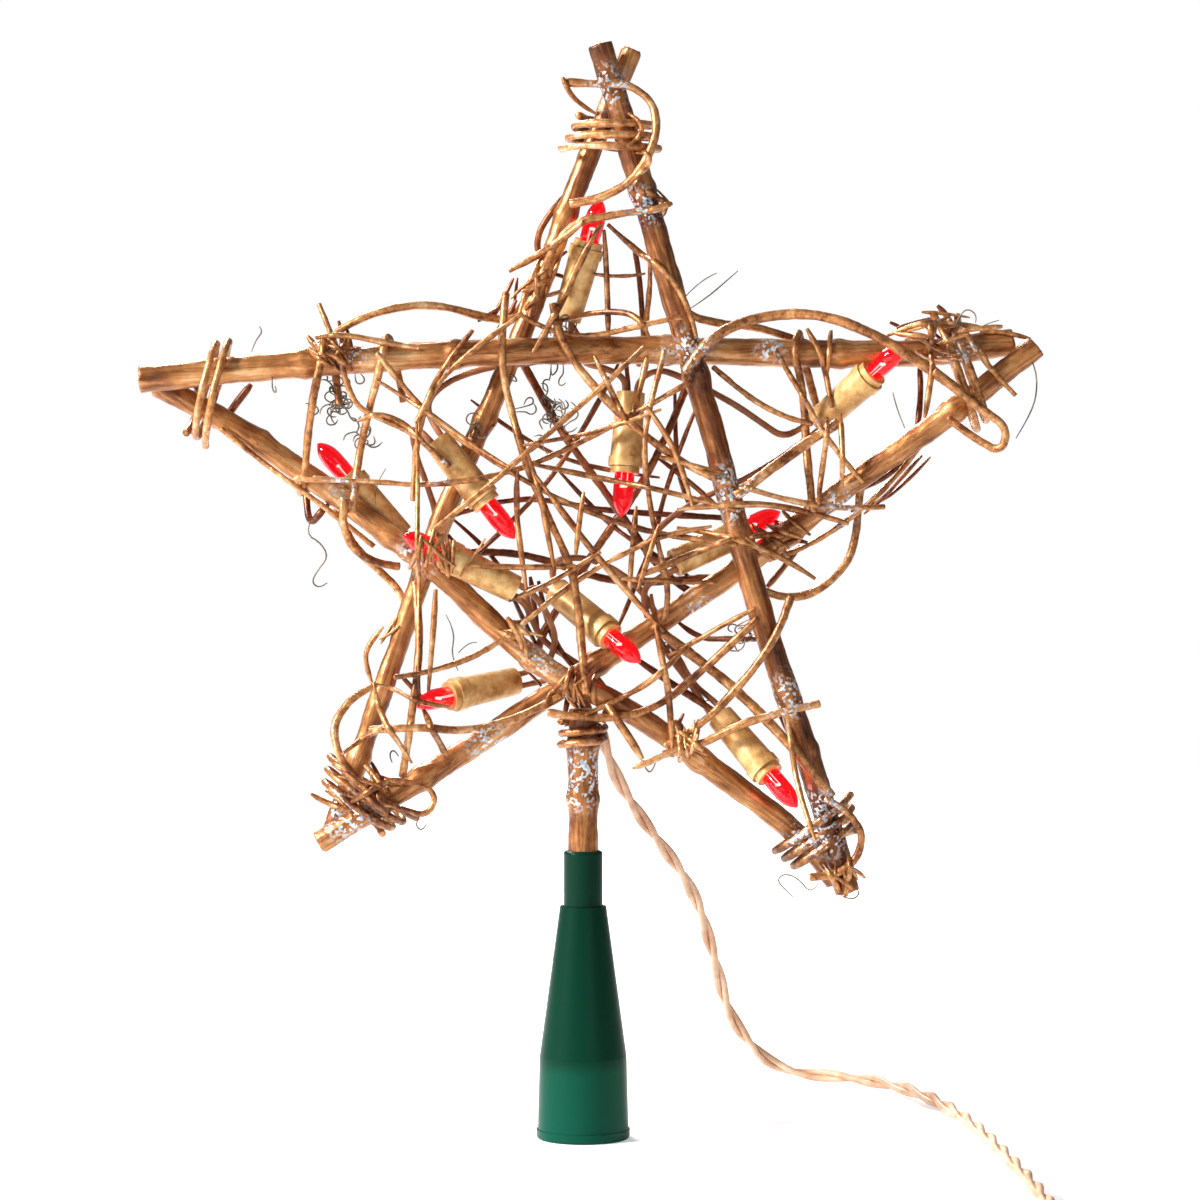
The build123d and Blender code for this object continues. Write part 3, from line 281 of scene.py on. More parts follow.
def swellKnots(piece, start, end, shares):
    group = piece.vertex_groups.new(name="knots")
    run = end - start
    for vertex in piece.data.vertices:
        share = (vertex.co - start).dot(run) / run.length_squared
        offsets = [(share - knot) * run.length / sticks["knotReach"] for knot in shares]
        weight = max(math.exp(-offset ** 2) for offset in offsets)
        if weight > sticks["knotFaintest"]:
            group.add([vertex.index], weight, "REPLACE")
    applyModifier(piece, "DISPLACE", strength=sticks["knotHeight"], mid_level=0.0, vertex_group="knots")


def brushFrost(piece):
    attribute = piece.data.attributes.new("frost", "FLOAT", "POINT")
    for vertex in piece.data.vertices:
        near = 0.0
        for centre, reach in frostSpots:
            away = (vertex.co.x - centre.x) ** 2 + (vertex.co.z - centre.z) ** 2
            if away < frost["fade"] * reach * reach and vertex.co.y < frost["frontOf"]:
                near = max(near, math.exp(-away / (reach * reach)))
        attribute.data[vertex.index].value = min(1.0, frost["strength"] * near)


def barkCopy(name, node, sizes, material, knots=None):
    piece = bpy.data.objects.new(name, nodes[node].data.copy())
    bpy.context.collection.objects.link(piece)
    selectOnly(piece)
    bpy.ops.object.mode_set(mode="EDIT")
    bpy.ops.mesh.select_all(action="SELECT")
    bpy.ops.mesh.remove_doubles(threshold=0.00001)
    bpy.ops.object.mode_set(mode="OBJECT")
    applyModifier(piece, "REMESH", mode="VOXEL", voxel_size=sizes["voxel"])
    if knots:
        swellKnots(piece, *knots)
    swell(piece, lumps, sizes["lumpHeight"])
    swell(piece, wrinkles, sizes["wrinkleHeight"])
    brushFrost(piece)
    piece.data.materials.clear()
    piece.data.materials.append(material)
    bpy.ops.object.shade_smooth()
    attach(piece, "star")
    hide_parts(node)
    return piece


# star sticks: ends by the photograph, where the bud scars are along each, and how far its gold ramp is
# shifted darker as painted shade
sticks = {
    "voxel": 0.0006, "lumpHeight": 0.0008, "wrinkleHeight": 0.00022, "grain": (1.1, 1.1, 16.0),
    "knotHeight": 0.0006, "knotReach": 0.0022, "knotFaintest": 0.02,
    "ends": {
        "stick_top_left": ((632, 52), (329, 840), (0.21, 0.47, 0.66, 0.90), 0.03),
        "stick_top_right": ((600, 49), (847, 893), (0.17, 0.39, 0.58, 0.83), 0.06),
        "stick_cross": ((142, 381), (1014, 343), (0.19, 0.36, 0.60, 0.80), 0.0),
        "stick_left": ((156, 386), (838, 886), (0.14, 0.33, 0.55, 0.78), 0.0),
        "stick_right": ((1034, 348), (319, 843), (0.12, 0.35, 0.62, 0.86), 0.0),
        "stem": ((583, 710), (583, 912), (0.18, 0.45), 0.06),
    },
}
barkPieces = []
for node, (first, last, shares, shadeShift) in sticks["ends"].items():
    start, end = place(*first), place(*last)
    run = (end - start).normalized()
    # sticks that stand in shade get their gold ramp shifted darker: painted shade
    stops = [(position + shadeShift, code) for position, code in goldPaint["twig"]]
    angle = math.atan2(run.x, run.z)
    paint = paintedBark("gold spray paint on twig, " + node, angle, sticks["grain"], stops, run)
    barkPieces.append(barkCopy("twig_" + node, node, sticks, paint, (start, end, shares)))
print("stage: sticks", [len(piece.data.polygons) for piece in barkPieces])

# vines and bindings: dry stems, a little lumpy
vines = {
    "voxel": 0.00042, "lumpHeight": 0.0005, "wrinkleHeight": 0.00022, "grain": (1.8, 1.8, 1.8),
    "nodes": [name for name in nodes if name.startswith("vines_") or "binding" in name],
}
vinePaint = paintedBark("gold spray paint on dry vine", 0.0, vines["grain"], goldPaint["vine"])
shadedBackPaint = paintedBark("bare brown dry vine", 0.0, vines["grain"], goldPaint["shadedBack"])  # the same gold paint made darker: painted shade for strands at the back
for node in vines["nodes"]:
    # vines at the back take the darker copy, a painted shade
    paint = shadedBackPaint if "back" in node else vinePaint
    barkPieces.append(barkCopy("dry_" + node, node, vines, paint))
print("stage: vines", len(vines["nodes"]))


def layPoints(spline, points, steps):
    spline.points.add(len(points) - 1)
    for point, spot in zip(spline.points, points):
        point.co = (*spot, 1)
    spline.order_u = 3
    spline.use_endpoint_u = True
    spline.resolution_u = steps


def routeLine(points, steps):
    curve = bpy.data.curves.new("routeLine", "CURVE")
    curve.dimensions = "3D"
    layPoints(curve.splines.new("NURBS"), points, steps)
    holder = bpy.data.objects.new("routeLine", curve)
    bpy.context.collection.objects.link(holder)
    mesh = bpy.data.meshes.new_from_object(holder.evaluated_get(bpy.context.evaluated_depsgraph_get()))
    line = [vertex.co.copy() for vertex in mesh.vertices]
    bpy.data.objects.remove(holder)
    bpy.data.meshes.remove(mesh)
    return line


def strandCurve(name, lines, radius, sides, thick=None, steps=3):
    curve = bpy.data.curves.new(name, "CURVE")
    curve.dimensions = "3D"
    curve.bevel_depth = radius
    curve.bevel_resolution = sides
    curve.use_fill_caps = True
    for line in lines:
        spline = curve.splines.new("NURBS")
        layPoints(spline, line, steps)
        for index, point in enumerate(spline.points):
            point.radius = thick(index / (len(line) - 1)) if thick else 1.0
    piece = bpy.data.objects.new(name, curve)
    bpy.context.collection.objects.link(piece)
    selectOnly(piece)
    bpy.ops.object.convert(target="MESH")
    piece = bpy.context.object
    bpy.ops.object.shade_smooth()
    return piece


# loose strands: thinner vines laid over the front and the back: width in millimetres, side, columns and rows
looseVines = {
    "step": 7, "tuftStep": 5, "stray": 0.0003, "lumpHeight": 0.0004, "sides": 2, "thinEnd": 0.55, "taper": 6,
    "castFrom": 0.1, "deepest": 0.003, "easings": 6,
    "leanSpread": 28, "halfShares": (0.3, 0.6), "acrossShare": 0.5, "upShare": 0.32, "bow": 5,
    "tuftWidths": (0.8, 1.0, 1.3, 1.6), "tuftSides": (front, front, back),
    "routes": [
        (1.5, front, [(604, 234), (607, 290), (608, 340)]),
        (1.4, back, [(634, 244), (642, 281), (644, 340)]),
        (1.0, front, [(594, 277), (620, 280), (644, 277)]),
        (1.6, front, [(555, 326), (580, 316), (606, 312), (640, 317), (650, 340)]),
        (1.7, front, [(608, 229), (634, 252), (663, 273), (687, 305), (694, 340)]),
        (1.7, back, [(573, 186), (545, 218), (535, 246), (545, 268), (566, 252)]),
        (1.8, front, [(508, 274), (535, 258), (562, 244), (582, 226)]),
        (1.7, front, [(602, 228), (577, 266), (561, 311), (532, 356)]),
        (1.2, back, [(559, 304), (572, 322), (583, 344)]),
        (1.3, front, [(563, 84), (568, 96), (579, 107), (596, 116)]),
        (1.2, front, [(628, 118), (640, 128), (641, 144), (628, 152)]),
        (1.3, front, [(634, 158), (648, 158), (650, 172), (634, 182)]),
        (1.5, back, [(588, 140), (604, 150), (636, 150)]),
        (1.6, back, [(516, 300), (500, 330), (478, 352), (450, 372)]),
        (2.0, back, [(249, 386), (238, 400), (224, 420)]),
        (1.4, front, [(380, 384), (428, 413), (470, 444), (512, 470)]),
        (1.4, front, [(360, 424), (376, 416), (396, 419), (419, 435), (444, 462)]),
        (1.6, front, [(474, 334), (441, 372), (428, 406), (419, 424)]),
        (1.3, front, [(419, 424), (421, 480), (420, 560), (421, 640), (420, 706)]),
        (1.9, back, [(303, 478), (306, 505), (311, 527), (321, 515), (332, 500)]),
        (1.6, front, [(318, 340), (346, 338), (384, 345), (420, 352)]),
        (1.3, back, [(190, 372), (196, 400), (206, 428), (222, 432)]),
        (1.5, front, [(826, 420), (823, 455), (816, 504)]),
        (1.4, front, [(839, 416), (841, 450), (840, 488)]),
        (1.6, front, [(806, 330), (818, 352), (827, 380), (832, 410)]),
        (1.4, front, [(832, 332), (828, 352), (826, 376)]),
        (1.6, back, [(786, 330), (814, 322), (842, 326)]),
        (1.5, front, [(884, 338), (913, 326), (942, 328), (968, 326), (996, 334)]),
        (1.4, front, [(964, 334), (974, 350), (986, 372)]),
        (1.6, back, [(921, 366), (922, 395), (916, 430)]),
        (1.5, front, [(930, 350), (926, 378), (920, 420)]),
        (1.5, back, [(830, 500), (866, 490), (893, 474), (917, 450)]),
        (1.1, back, [(862, 514), (884, 498), (904, 476), (922, 456)]),
        (1.0, back, [(852, 512), (880, 503), (906, 484), (930, 458)]),
        (1.7, front, [(676, 511), (724, 506), (784, 505), (848, 524)]),
        (1.3, front, [(660, 458), (690, 466), (722, 474)]),
        (1.6, front, [(676, 529), (724, 536), (784, 559), (814, 579)]),
        (1.6, back, [(800, 548), (786, 570), (768, 590)]),
        (1.7, front, [(404, 570), (388, 600), (380, 628)]),
        (1.4, front, [(384, 626), (368, 646), (366, 664), (374, 684)]),
        (1.4, front, [(437, 590), (436, 630), (431, 690)]),
        (1.5, front, [(374, 682), (384, 712), (398, 736), (414, 760)]),
        (1.6, front, [(384, 724), (366, 736), (346, 752)]),
        (1.4, back, [(402, 676), (414, 690), (424, 704)]),
        (1.7, front, [(424, 708), (438, 734), (448, 758)]),
        (1.3, front, [(376, 684), (404, 692), (430, 704), (452, 706)]),
        (1.7, front, [(650, 596), (658, 640), (669, 700), (672, 756)]),
        (1.4, back, [(676, 622), (697, 640), (726, 640), (764, 641)]),
        (1.3, front, [(668, 656), (694, 642), (718, 627), (752, 610)]),
        (1.8, back, [(630, 656), (669, 684), (707, 709), (726, 722)]),
        (1.6, front, [(586, 714), (620, 698), (648, 680), (692, 642)]),
        (1.8, front, [(674, 720), (682, 740), (680, 762)]),
        (1.7, back, [(666, 730), (678, 752), (692, 760)]),
        (1.6, front, [(632, 766), (652, 760), (676, 748)]),
        (2.2, front, [(606, 704), (622, 726), (641, 757)]),
        (1.5, front, [(784, 708), (789, 752), (798, 796), (812, 836)]),
        (1.5, back, [(776, 712), (802, 756), (826, 792)]),
        (1.6, front, [(518, 470), (516, 500), (520, 540), (528, 588)]),
        (1.6, front, [(528, 456), (540, 492), (547, 530), (555, 570)]),
        (1.7, front, [(536, 474), (564, 512), (594, 554), (629, 594), (664, 632)]),
        (1.4, front, [(583, 494), (578, 522), (577, 556)]),
        (1.4, front, [(636, 508), (632, 550), (629, 594)]),
        (1.4, front, [(658, 524), (648, 556), (638, 590)]),
        (1.4, front, [(596, 568), (632, 550), (661, 534), (710, 528)]),
        (1.7, front, [(636, 578), (688, 556), (732, 538)]),
        (1.3, front, [(508, 602), (534, 592), (559, 579), (600, 552)]),
        (1.3, front, [(620, 580), (660, 582), (716, 584)]),
        (1.2, front, [(524, 446), (564, 440), (610, 430), (660, 412)]),
        (1.5, front, [(530, 466), (604, 480), (666, 492), (734, 511)]),
        (1.3, back, [(674, 390), (675, 440), (678, 480), (690, 510)]),
        (1.5, front, [(646, 408), (664, 432), (680, 462), (692, 508)]),
        (1.5, front, [(594, 358), (608, 390), (624, 422)]),
        (1.6, front, [(646, 358), (641, 388), (634, 416)]),
        (1.2, back, [(626, 356), (629, 384), (630, 410)]),
        (1.4, back, [(658, 460), (690, 482), (722, 512)]),
        (1.6, back, [(537, 584), (545, 622), (560, 656), (584, 678)]),
        (1.4, back, [(530, 580), (534, 610), (536, 640)]),
        (1.5, front, [(470, 566), (520, 570), (576, 566)]),
        (1.3, back, [(556, 470), (600, 520), (640, 548), (690, 580)]),
        (1.2, back, [(470, 400), (520, 440), (590, 470), (660, 478)]),
        (1.3, back, [(450, 520), (500, 560), (520, 620), (544, 668)]),
        (1.4, back, [(620, 360), (580, 440), (520, 520), (460, 570)]),
        (1.3, back, [(700, 400), (670, 470), (650, 560), (612, 640)]),
    ],
    # short broken ends in the tangles: column, row, spread, how many, length, lean in degrees
    "tufts": [
        (940, 334, 46, 22, 44, 8), (362, 790, 34, 26, 40, 40), (572, 690, 24, 20, 34, 70),
        (836, 872, 16, 12, 30, 60), (690, 742, 14, 12, 34, 80), (492, 300, 20, 10, 40, 120),
        (340, 350, 22, 12, 36, 70), (770, 540, 24, 14, 36, 20), (440, 555, 24, 16, 40, 70),
        (385, 630, 14, 10, 30, 100), (660, 205, 10, 6, 26, 10), (540, 285, 20, 10, 40, 120),
        (520, 640, 24, 12, 34, 40),
    ],
}


def pileTree(pieces):
    points, faces = [], []
    for piece in pieces:
        first = len(points)
        points += [vertex.co.copy() for vertex in piece.data.vertices]
        faces += [[first + corner for corner in face.vertices] for face in piece.data.polygons]
    return BVHTree.FromPolygons(points, faces)


def castAt(pile, spot, side):
    far = looseVines["castFrom"]
    return pile.ray_cast(Vector((spot.x, side * far, spot.z)), Vector((0, -side, 0)), 2 * far)[0]


def layOn(pile, line, side, radius):
    rests = []
    for spot in line:
        hit = castAt(pile, spot, side)
        rests.append(hit.y + side * radius if hit and hit.y * side > -looseVines["deepest"] else None)
    known = [index for index, rest in enumerate(rests) if rest is not None]
    if not known:
        return None
    depths = []
    for index, rest in enumerate(rests):
        before = max((k for k in known if k <= index), default=known[0])
        after = min((k for k in known if k >= index), default=known[-1])
        share = (index - before) / (after - before) if after > before else 0.0
        depths.append(rests[before] * (1 - share) + rests[after] * share)
    for turn in range(looseVines["easings"]):  # ease the steps, but stay off what carries it
        beside = [depths[max(index - 1, 0):index + 2] for index in range(len(depths))]
        eased = [sum(three) / len(three) for three in beside]
        outer = min if side == front else max
        depths = [e if r is None else outer(e, r) for e, r in zip(eased, rests)]
    return [Vector((spot.x, depth, spot.z)) for spot, depth in zip(line, depths)]


def tapered(share):
    full = min(1.0, looseVines["taper"] * share, looseVines["taper"] * (1 - share))
    return looseVines["thinEnd"] + (1 - looseVines["thinEnd"]) * full


# lights: the holders' mouths in millimetres, and what each bulb needs clear to come out: radius, from, to
lights = {
    "mouths": [
        (1.02, 0.0, 226.98), (72.6, -2.33, 194.37), (39.49, 5.09, 154.63), (10.7, 0.0, 171.45),
        (-59.36, 5.96, 167.88), (-25.22, -4.92, 163.29), (-33.88, -9.38, 148.77), (5.86, -2.34, 129.16),
        (-32.86, 0.0, 113.36), (46.36, -6.26, 94.51),
    ],
    "clearWays": [(0.0046, 0.0, 0.0102), (0.0035, 0.0100, 0.0220)],
    "waySides": 16,
}
lightSpots = [(Vector(mouth) / perMetre, joint) for mouth, joint in zip(lights["mouths"], frame["joints"])]
lightNumbers = range(1, len(lightSpots) + 1)
ways = []
for mouth, joint in lightSpots:
    axis = Vector(joint["axis"])
    for radius, low, high in lights["clearWays"]:
        bpy.ops.mesh.primitive_cylinder_add(
            vertices=lights["waySides"], radius=radius, depth=high - low,
            location=mouth + axis * (low + high) / 2, rotation=axis.to_track_quat("Z", "Y").to_euler())
        bpy.ops.object.transform_apply(location=True, rotation=True, scale=True)
        ways.append(bpy.context.object)
holders = [nodes["lamp_holder_%02d" % number] for number in lightNumbers]
pile = pileTree(barkPieces + holders)
guarded = pileTree(barkPieces + holders + ways)
for way in ways:
    bpy.data.objects.remove(way)
dice = random.Random(11)
byWidth = {}


def layStrand(width, side, points, steps):
    laid = layOn(guarded, routeLine(points, steps), side, width / 2 / perMetre)
    if laid:
        byWidth.setdefault((side, width), []).append(laid)


for width, side, route in looseVines["routes"]:
    points = []
    for stop in route:
        stray = Vector((dice.uniform(-1, 1), 0, dice.uniform(-1, 1))) * looseVines["stray"]
        points.append(place(*stop) + stray)
    layStrand(width, side, points, looseVines["step"])
for column, row, spread, count, length, lean in looseVines["tufts"]:
    for number in range(count):
        angle = math.radians(lean + dice.gauss(0, looseVines["leanSpread"]))
        half = dice.uniform(*looseVines["halfShares"]) * length
        middleColumn = column + dice.gauss(0, spread * looseVines["acrossShare"])
        middleRow = row + dice.gauss(0, spread * looseVines["upShare"])
        bow = dice.uniform(-looseVines["bow"], looseVines["bow"])
        across, down = half * math.cos(angle), half * math.sin(angle)
        route = [(middleColumn - across, middleRow - down),
                 (middleColumn - bow * math.sin(angle), middleRow + bow * math.cos(angle)),
                 (middleColumn + across, middleRow + down)]
        width = dice.choice(looseVines["tuftWidths"])
        side = dice.choice(looseVines["tuftSides"])
        layStrand(width, side, [place(*stop) for stop in route], looseVines["tuftStep"])
for (side, width), lines in sorted(byWidth.items()):
    name = "loose_vines_%s_%02d" % ("front" if side == front else "back", round(width * 10))
    piece = strandCurve(name, lines, width / 2 / perMetre, looseVines["sides"], tapered)
    swell(piece, lumps, looseVines["lumpHeight"])
    # strands at the back take the darker copy, a painted shade
    piece.data.materials.append(vinePaint if side == front else shadedBackPaint)
    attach(piece, "star")
print("stage: loose vines", sum(len(lines) for lines in byWidth.values()))

# tendrils: hair-thin curls that dried on the vines, dull grey-brown where the paint missed
tendrils = {
    "width": 0.00042, "sides": 1, "sunk": 0.0004, "swayOut": -0.004, "swayIn": 0.002,
    "feelReach": 8, "feelStep": 2, "feelTurns": 8, "feelTurn": 0.785,
    "acrossShare": 0.5, "upShare": 0.6, "depth": 0.004, "farthest": 0.012, "rootShare": 0.6,
    "fullTurn": 6.28, "curls": 5, "curlTurns": (0.2, 1.3), "curlOut": 0.4, "curlStep": 0.0011,
    "routes": [
        [(310, 524), (306, 536), (320, 543), (329, 558), (317, 572), (311, 584), (320, 590), (327, 584)],
        [(254, 354), (258, 342), (266, 334), (262, 329)],
        [(204, 432), (196, 438), (188, 434), (190, 428)],
        [(275, 378), (274, 392), (280, 396), (278, 388)],
        [(820, 886), (812, 898), (800, 882), (786, 876), (777, 883), (786, 893), (796, 902)],
        [(836, 892), (848, 901), (860, 894), (856, 888)],
        [(1020, 346), (1032, 366), (1034, 394), (1026, 418), (1012, 440)],
        [(950, 332), (956, 318), (964, 311), (974, 318), (972, 326)],
        [(978, 330), (988, 324), (998, 322)],
        [(690, 310), (708, 298), (722, 286), (738, 272)],
        [(684, 300), (700, 282), (716, 276)],
        [(420, 815), (416, 824), (424, 830), (428, 822)],
        [(392, 764), (388, 756), (394, 750), (398, 758)],
        [(446, 616), (456, 634), (450, 656), (458, 672)],
        [(460, 652), (470, 640), (478, 642)],
        [(892, 394), (896, 412), (904, 430)],
        [(386, 470), (372, 490), (376, 506)],
        [(640, 758), (646, 772), (652, 774), (656, 762)],
    ],
    # dried flower frizz: column, row, reach, how many hairs
    "frizz": [
        (338, 402, 20, 26), (365, 440, 10, 8), (552, 412, 22, 26), (480, 430, 12, 10), (560, 330, 10, 8),
        (736, 640, 14, 8),
    ],
}
hairs = []
for route in tendrils["routes"]:
    hit = None
    for reach in range(0, tendrils["feelReach"] + 1, tendrils["feelStep"]):
        for turn in range(tendrils["feelTurns"]):
            angle = turn * tendrils["feelTurn"]
            spot = place(route[0][0] + reach * math.cos(angle), route[0][1] + reach * math.sin(angle))
            hit = hit or castAt(pile, spot, front)
    depth = hit.y + tendrils["sunk"] if hit else 0.0
    sway = dice.uniform(tendrils["swayOut"], tendrils["swayIn"])
    hairs.append([place(*stop, depth + sway * index / len(route)) for index, stop in enumerate(route)])
for column, row, reach, count in tendrils["frizz"]:
    for number in range(count):
        hairColumn = column + dice.gauss(0, reach * tendrils["acrossShare"])
        hairRow = row + dice.gauss(0, reach * tendrils["upShare"])
        spot = place(hairColumn, hairRow, dice.uniform(-tendrils["depth"], tendrils["depth"]))
        near = pile.find_nearest(spot)[0]
        if (near - spot).length > tendrils["farthest"]:
            continue
        hair = [near, near.lerp(spot, tendrils["rootShare"])]
        heading = dice.uniform(0, tendrils["fullTurn"])
        for step in range(tendrils["curls"]):
            heading += dice.uniform(*tendrils["curlTurns"])
            out = dice.uniform(-tendrils["curlOut"], tendrils["curlOut"])
            hair.append(hair[-1] + Vector((math.cos(heading), out, math.sin(heading))) * tendrils["curlStep"])
        hairs.append(hair)
hairPiece = strandCurve("dried_tendrils", hairs, tendrils["width"] / 2, tendrils["sides"], tapered)
hairPiece.data.materials.append(driftingColour(
    "dried vine tendril", {"Roughness": 0.6}, 5, 3.0, [(0.4, "#4A3A2C"), (0.6, "#8C7C6A")]))
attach(hairPiece, "star")
print("stage: tendrils", len(hairs))

# lead: a twisted pair from the star to the plug, its spare length coiled
lead = {
    "exit": (0.0046, 0.0093, 0.1027), "length": 0.95, "strand": 0.0018, "twist": 0.034,
    "steps": 14, "sides": 4,
    "farPieces": ("cord_tie", "plug_body", "plug_blades", "plug_fuses", "fuse_door"),
    "tones": [(0.35, "#CE9A78"), (0.55, "#E6BC9C"), (0.7, "#F2D3B8")],
    "route": [
        (0.0046, 0.0093, 0.1027), (0.0068, 0.0141, 0.0939), (0.015, 0.0269, 0.0793),
        (0.0294, 0.0499, 0.059), (0.0356, 0.0675, 0.0374), (0.0401, 0.0791, 0.0187),
        (0.0538, 0.0894, 0.0027), (0.0759, 0.0839, 0.0027), (0.0921, 0.054, 0.0027),
        (0.1001, 0.008, 0.0027), (0.1044, -0.0481, 0.0027), (0.1074, -0.1026, 0.0027),
        (0.1074, -0.153, 0.0027), (0.1074, -0.1665, 0.0027), (0.0931, -0.1801, 0.0027),
        (0.0739, -0.1795, 0.0027), (0.061, -0.1659, 0.0027), (0.0615, -0.1475, 0.0027),
        (0.0746, -0.1353, 0.0027), (0.092, -0.1358, 0.0027), (0.1036, -0.1482, 0.0027),
        (0.1031, -0.1648, 0.0027), (0.0913, -0.1758, 0.0027), (0.0757, -0.1752, 0.0027),
        (0.0653, -0.1641, 0.0027), (0.0658, -0.1493, 0.0027), (0.0763, -0.1396, 0.0027),
        (0.0902, -0.1401, 0.0027), (0.0993, -0.15, 0.0027), (0.0984, -0.1628, 0.0032),
        (0.0894, -0.1712, 0.0043), (0.0774, -0.1712, 0.0054), (0.0683, -0.1628, 0.0065),
        (0.0677, -0.1501, 0.007), (0.0767, -0.1404, 0.007), (0.0903, -0.1399, 0.007),
        (0.1007, -0.1494, 0.007), (0.1012, -0.164, 0.007), (0.091, -0.175, 0.007),
        (0.0756, -0.1755, 0.007), (0.064, -0.1646, 0.007), (0.0634, -0.1483, 0.007),
        (0.0749, -0.1361, 0.007), (0.0921, -0.1356, 0.007), (0.105, -0.1477, 0.007),
        (0.1055, -0.1658, 0.007), (0.0928, -0.1793, 0.007), (0.0734, -0.1795, 0.007),
        (0.0634, -0.1795, 0.0055), (0.0414, -0.1795, 0.0055),
    ],
}


def vinyl(name, tones):  # soft vinyl insulation: an even satin colour with a faint grain
    satin = {"Roughness": 0.42, "Specular IOR Level": 0.45}
    return driftingColour(name, satin, 6, 5.0, tones, skin=(0.7, 3.0, 0.2, 0.0002))


leadLine = routeLine(lead["route"], lead["steps"])
strands = [[], []]
travelled = 0.0
across = Vector((1, 0, 0))
for index, spot in enumerate(leadLine):
    ahead = (leadLine[min(index + 1, len(leadLine) - 1)] - leadLine[max(index - 1, 0)]).normalized()
    if index:
        travelled += (spot - leadLine[index - 1]).length
    across = (across - ahead * across.dot(ahead)).normalized()
    turned = Matrix.Rotation(2 * math.pi * travelled / lead["twist"], 3, ahead) @ across
    for side, strand in zip((-1, 1), strands):
        strand.append(spot + turned * side * lead["strand"] / 2)
leadPair = strandCurve("twisted_lead", strands, lead["strand"] / 2, lead["sides"])
leadPair.data.materials.append(vinyl("copper tan vinyl insulation", lead["tones"]))
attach(leadPair, "star")
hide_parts("lead_cord", "cord_coil")
print("stage: lead, metres", round(travelled, 3))

# string wires: the same vinyl, browner, run among the vines
wires = {
    "voxel": 0.0004, "lumpHeight": 0.0003, "wrinkleHeight": 0.0001,
    "tones": [(0.35, "#7A4424"), (0.55, "#A2663C"), (0.7, "#BC835A")],
}
wireVinyl = vinyl("copper brown vinyl insulation", wires["tones"])
barkCopy("insulated_wires", "string_wires", wires, wireVinyl)

# tree socket: moulded polypropylene with a satin skin, deep teal green, lighter in the skirt
socket = {
    "height": 0.0736, "cloud": 12, "cloudShare": 0.08, "grit": 0.5, "gritStrength": 0.12, "gritDepth": 0.0002,
    "greens": [(0.0, "#034C3A"), (0.27, "#034735"), (0.32, "#023424"), (0.9, "#022D1F")],
}
socketPlastic, tree, shader = newMaterial("moulded green polypropylene", {
    "Roughness": 0.32, "Specular IOR Level": 0.1})
where = addNode(tree, "ShaderNodeTexCoord")
apart = addNode(tree, "ShaderNodeSeparateXYZ", {"Vector": where.outputs["Object"]})
height = addNode(tree, "ShaderNodeMapRange", {
    "Value": apart.outputs["Z"], "From Min": 0.0, "From Max": socket["height"]})
cloud = addNode(tree, "ShaderNodeTexNoise", {
    "Vector": where.outputs["Object"], "Scale": perMetre / socket["cloud"], "Detail": 4.0})
swirl = addNode(tree, "ShaderNodeMath", {
    0: cloud.outputs["Fac"], 1: socket["cloudShare"], 2: height.outputs["Result"]}, operation="MULTIPLY_ADD")
green = addNode(tree, "ShaderNodeValToRGB", {"Fac": swirl.outputs[0]}, socket["greens"])
tree.links.new(green.outputs["Color"], shader.inputs["Base Color"])
grit = addNode(tree, "ShaderNodeTexNoise", {
    "Vector": where.outputs["Object"], "Scale": perMetre / socket["grit"], "Detail": 2.0})
relief = addNode(tree, "ShaderNodeBump", {
    "Height": grit.outputs["Fac"], "Strength": socket["gritStrength"], "Distance": socket["gritDepth"]})
tree.links.new(relief.outputs["Normal"], shader.inputs["Normal"])


def finishNodes(material, *names):
    for name in names:
        nodes[name].data.materials.clear()
        nodes[name].data.materials.append(material)


finishNodes(socketPlastic, "tree_socket")

# lamp holders and bases: gold-brown nylon, brushed with the same gold paint, so half bright and streaky
holderPlastic = driftingColour(
    "gold painted nylon", {"Metallic": 0.25, "Roughness": 0.36}, 3.5, 6.0,
    [(0.34, "#AE7A3C"), (0.5, "#D6A566"), (0.66, "#EBC78A")], coarseness=0.65, skin=(3.5, 6.0, 0.25, 0.0003))
for number in lightNumbers:
    finishNodes(holderPlastic, "lamp_holder_%02d" % number, "bulb_base_%02d" % number)

# contacts and plug blades: bare stamped brass, bright yellow with a light tarnish
brass = driftingColour(
    "bare brass strip", {"Metallic": 1.0, "Roughness": 0.28}, 4, 5.0, [(0.35, "#B58B3E"), (0.65, "#E4C277")])
finishNodes(brass, "holder_contacts", "plug_blades")

# plug, fuse door and tie: moulded vinyl, dull brown with a fine spark-eroded grain
plugPlastic = driftingColour(
    "moulded brown vinyl", {"Roughness": 0.5}, 0.8, 4.0, [(0.35, "#8A5A3C"), (0.65, "#A9744F")],
    skin=(0.8, 4.0, 0.3, 0.0002))
finishNodes(plugPlastic, "plug_body", "fuse_door", "cord_tie")

# fuses: drawn glass tube, clear and glossy
fuseGlass = newMaterial("soda glass tube", {
    "Base Color": srgb("#E8EEEE"), "Roughness": 0.05, "Transmission Weight": 0.85})[0]
finishNodes(fuseGlass, "plug_fuses")
print("stage: plastic and brass")

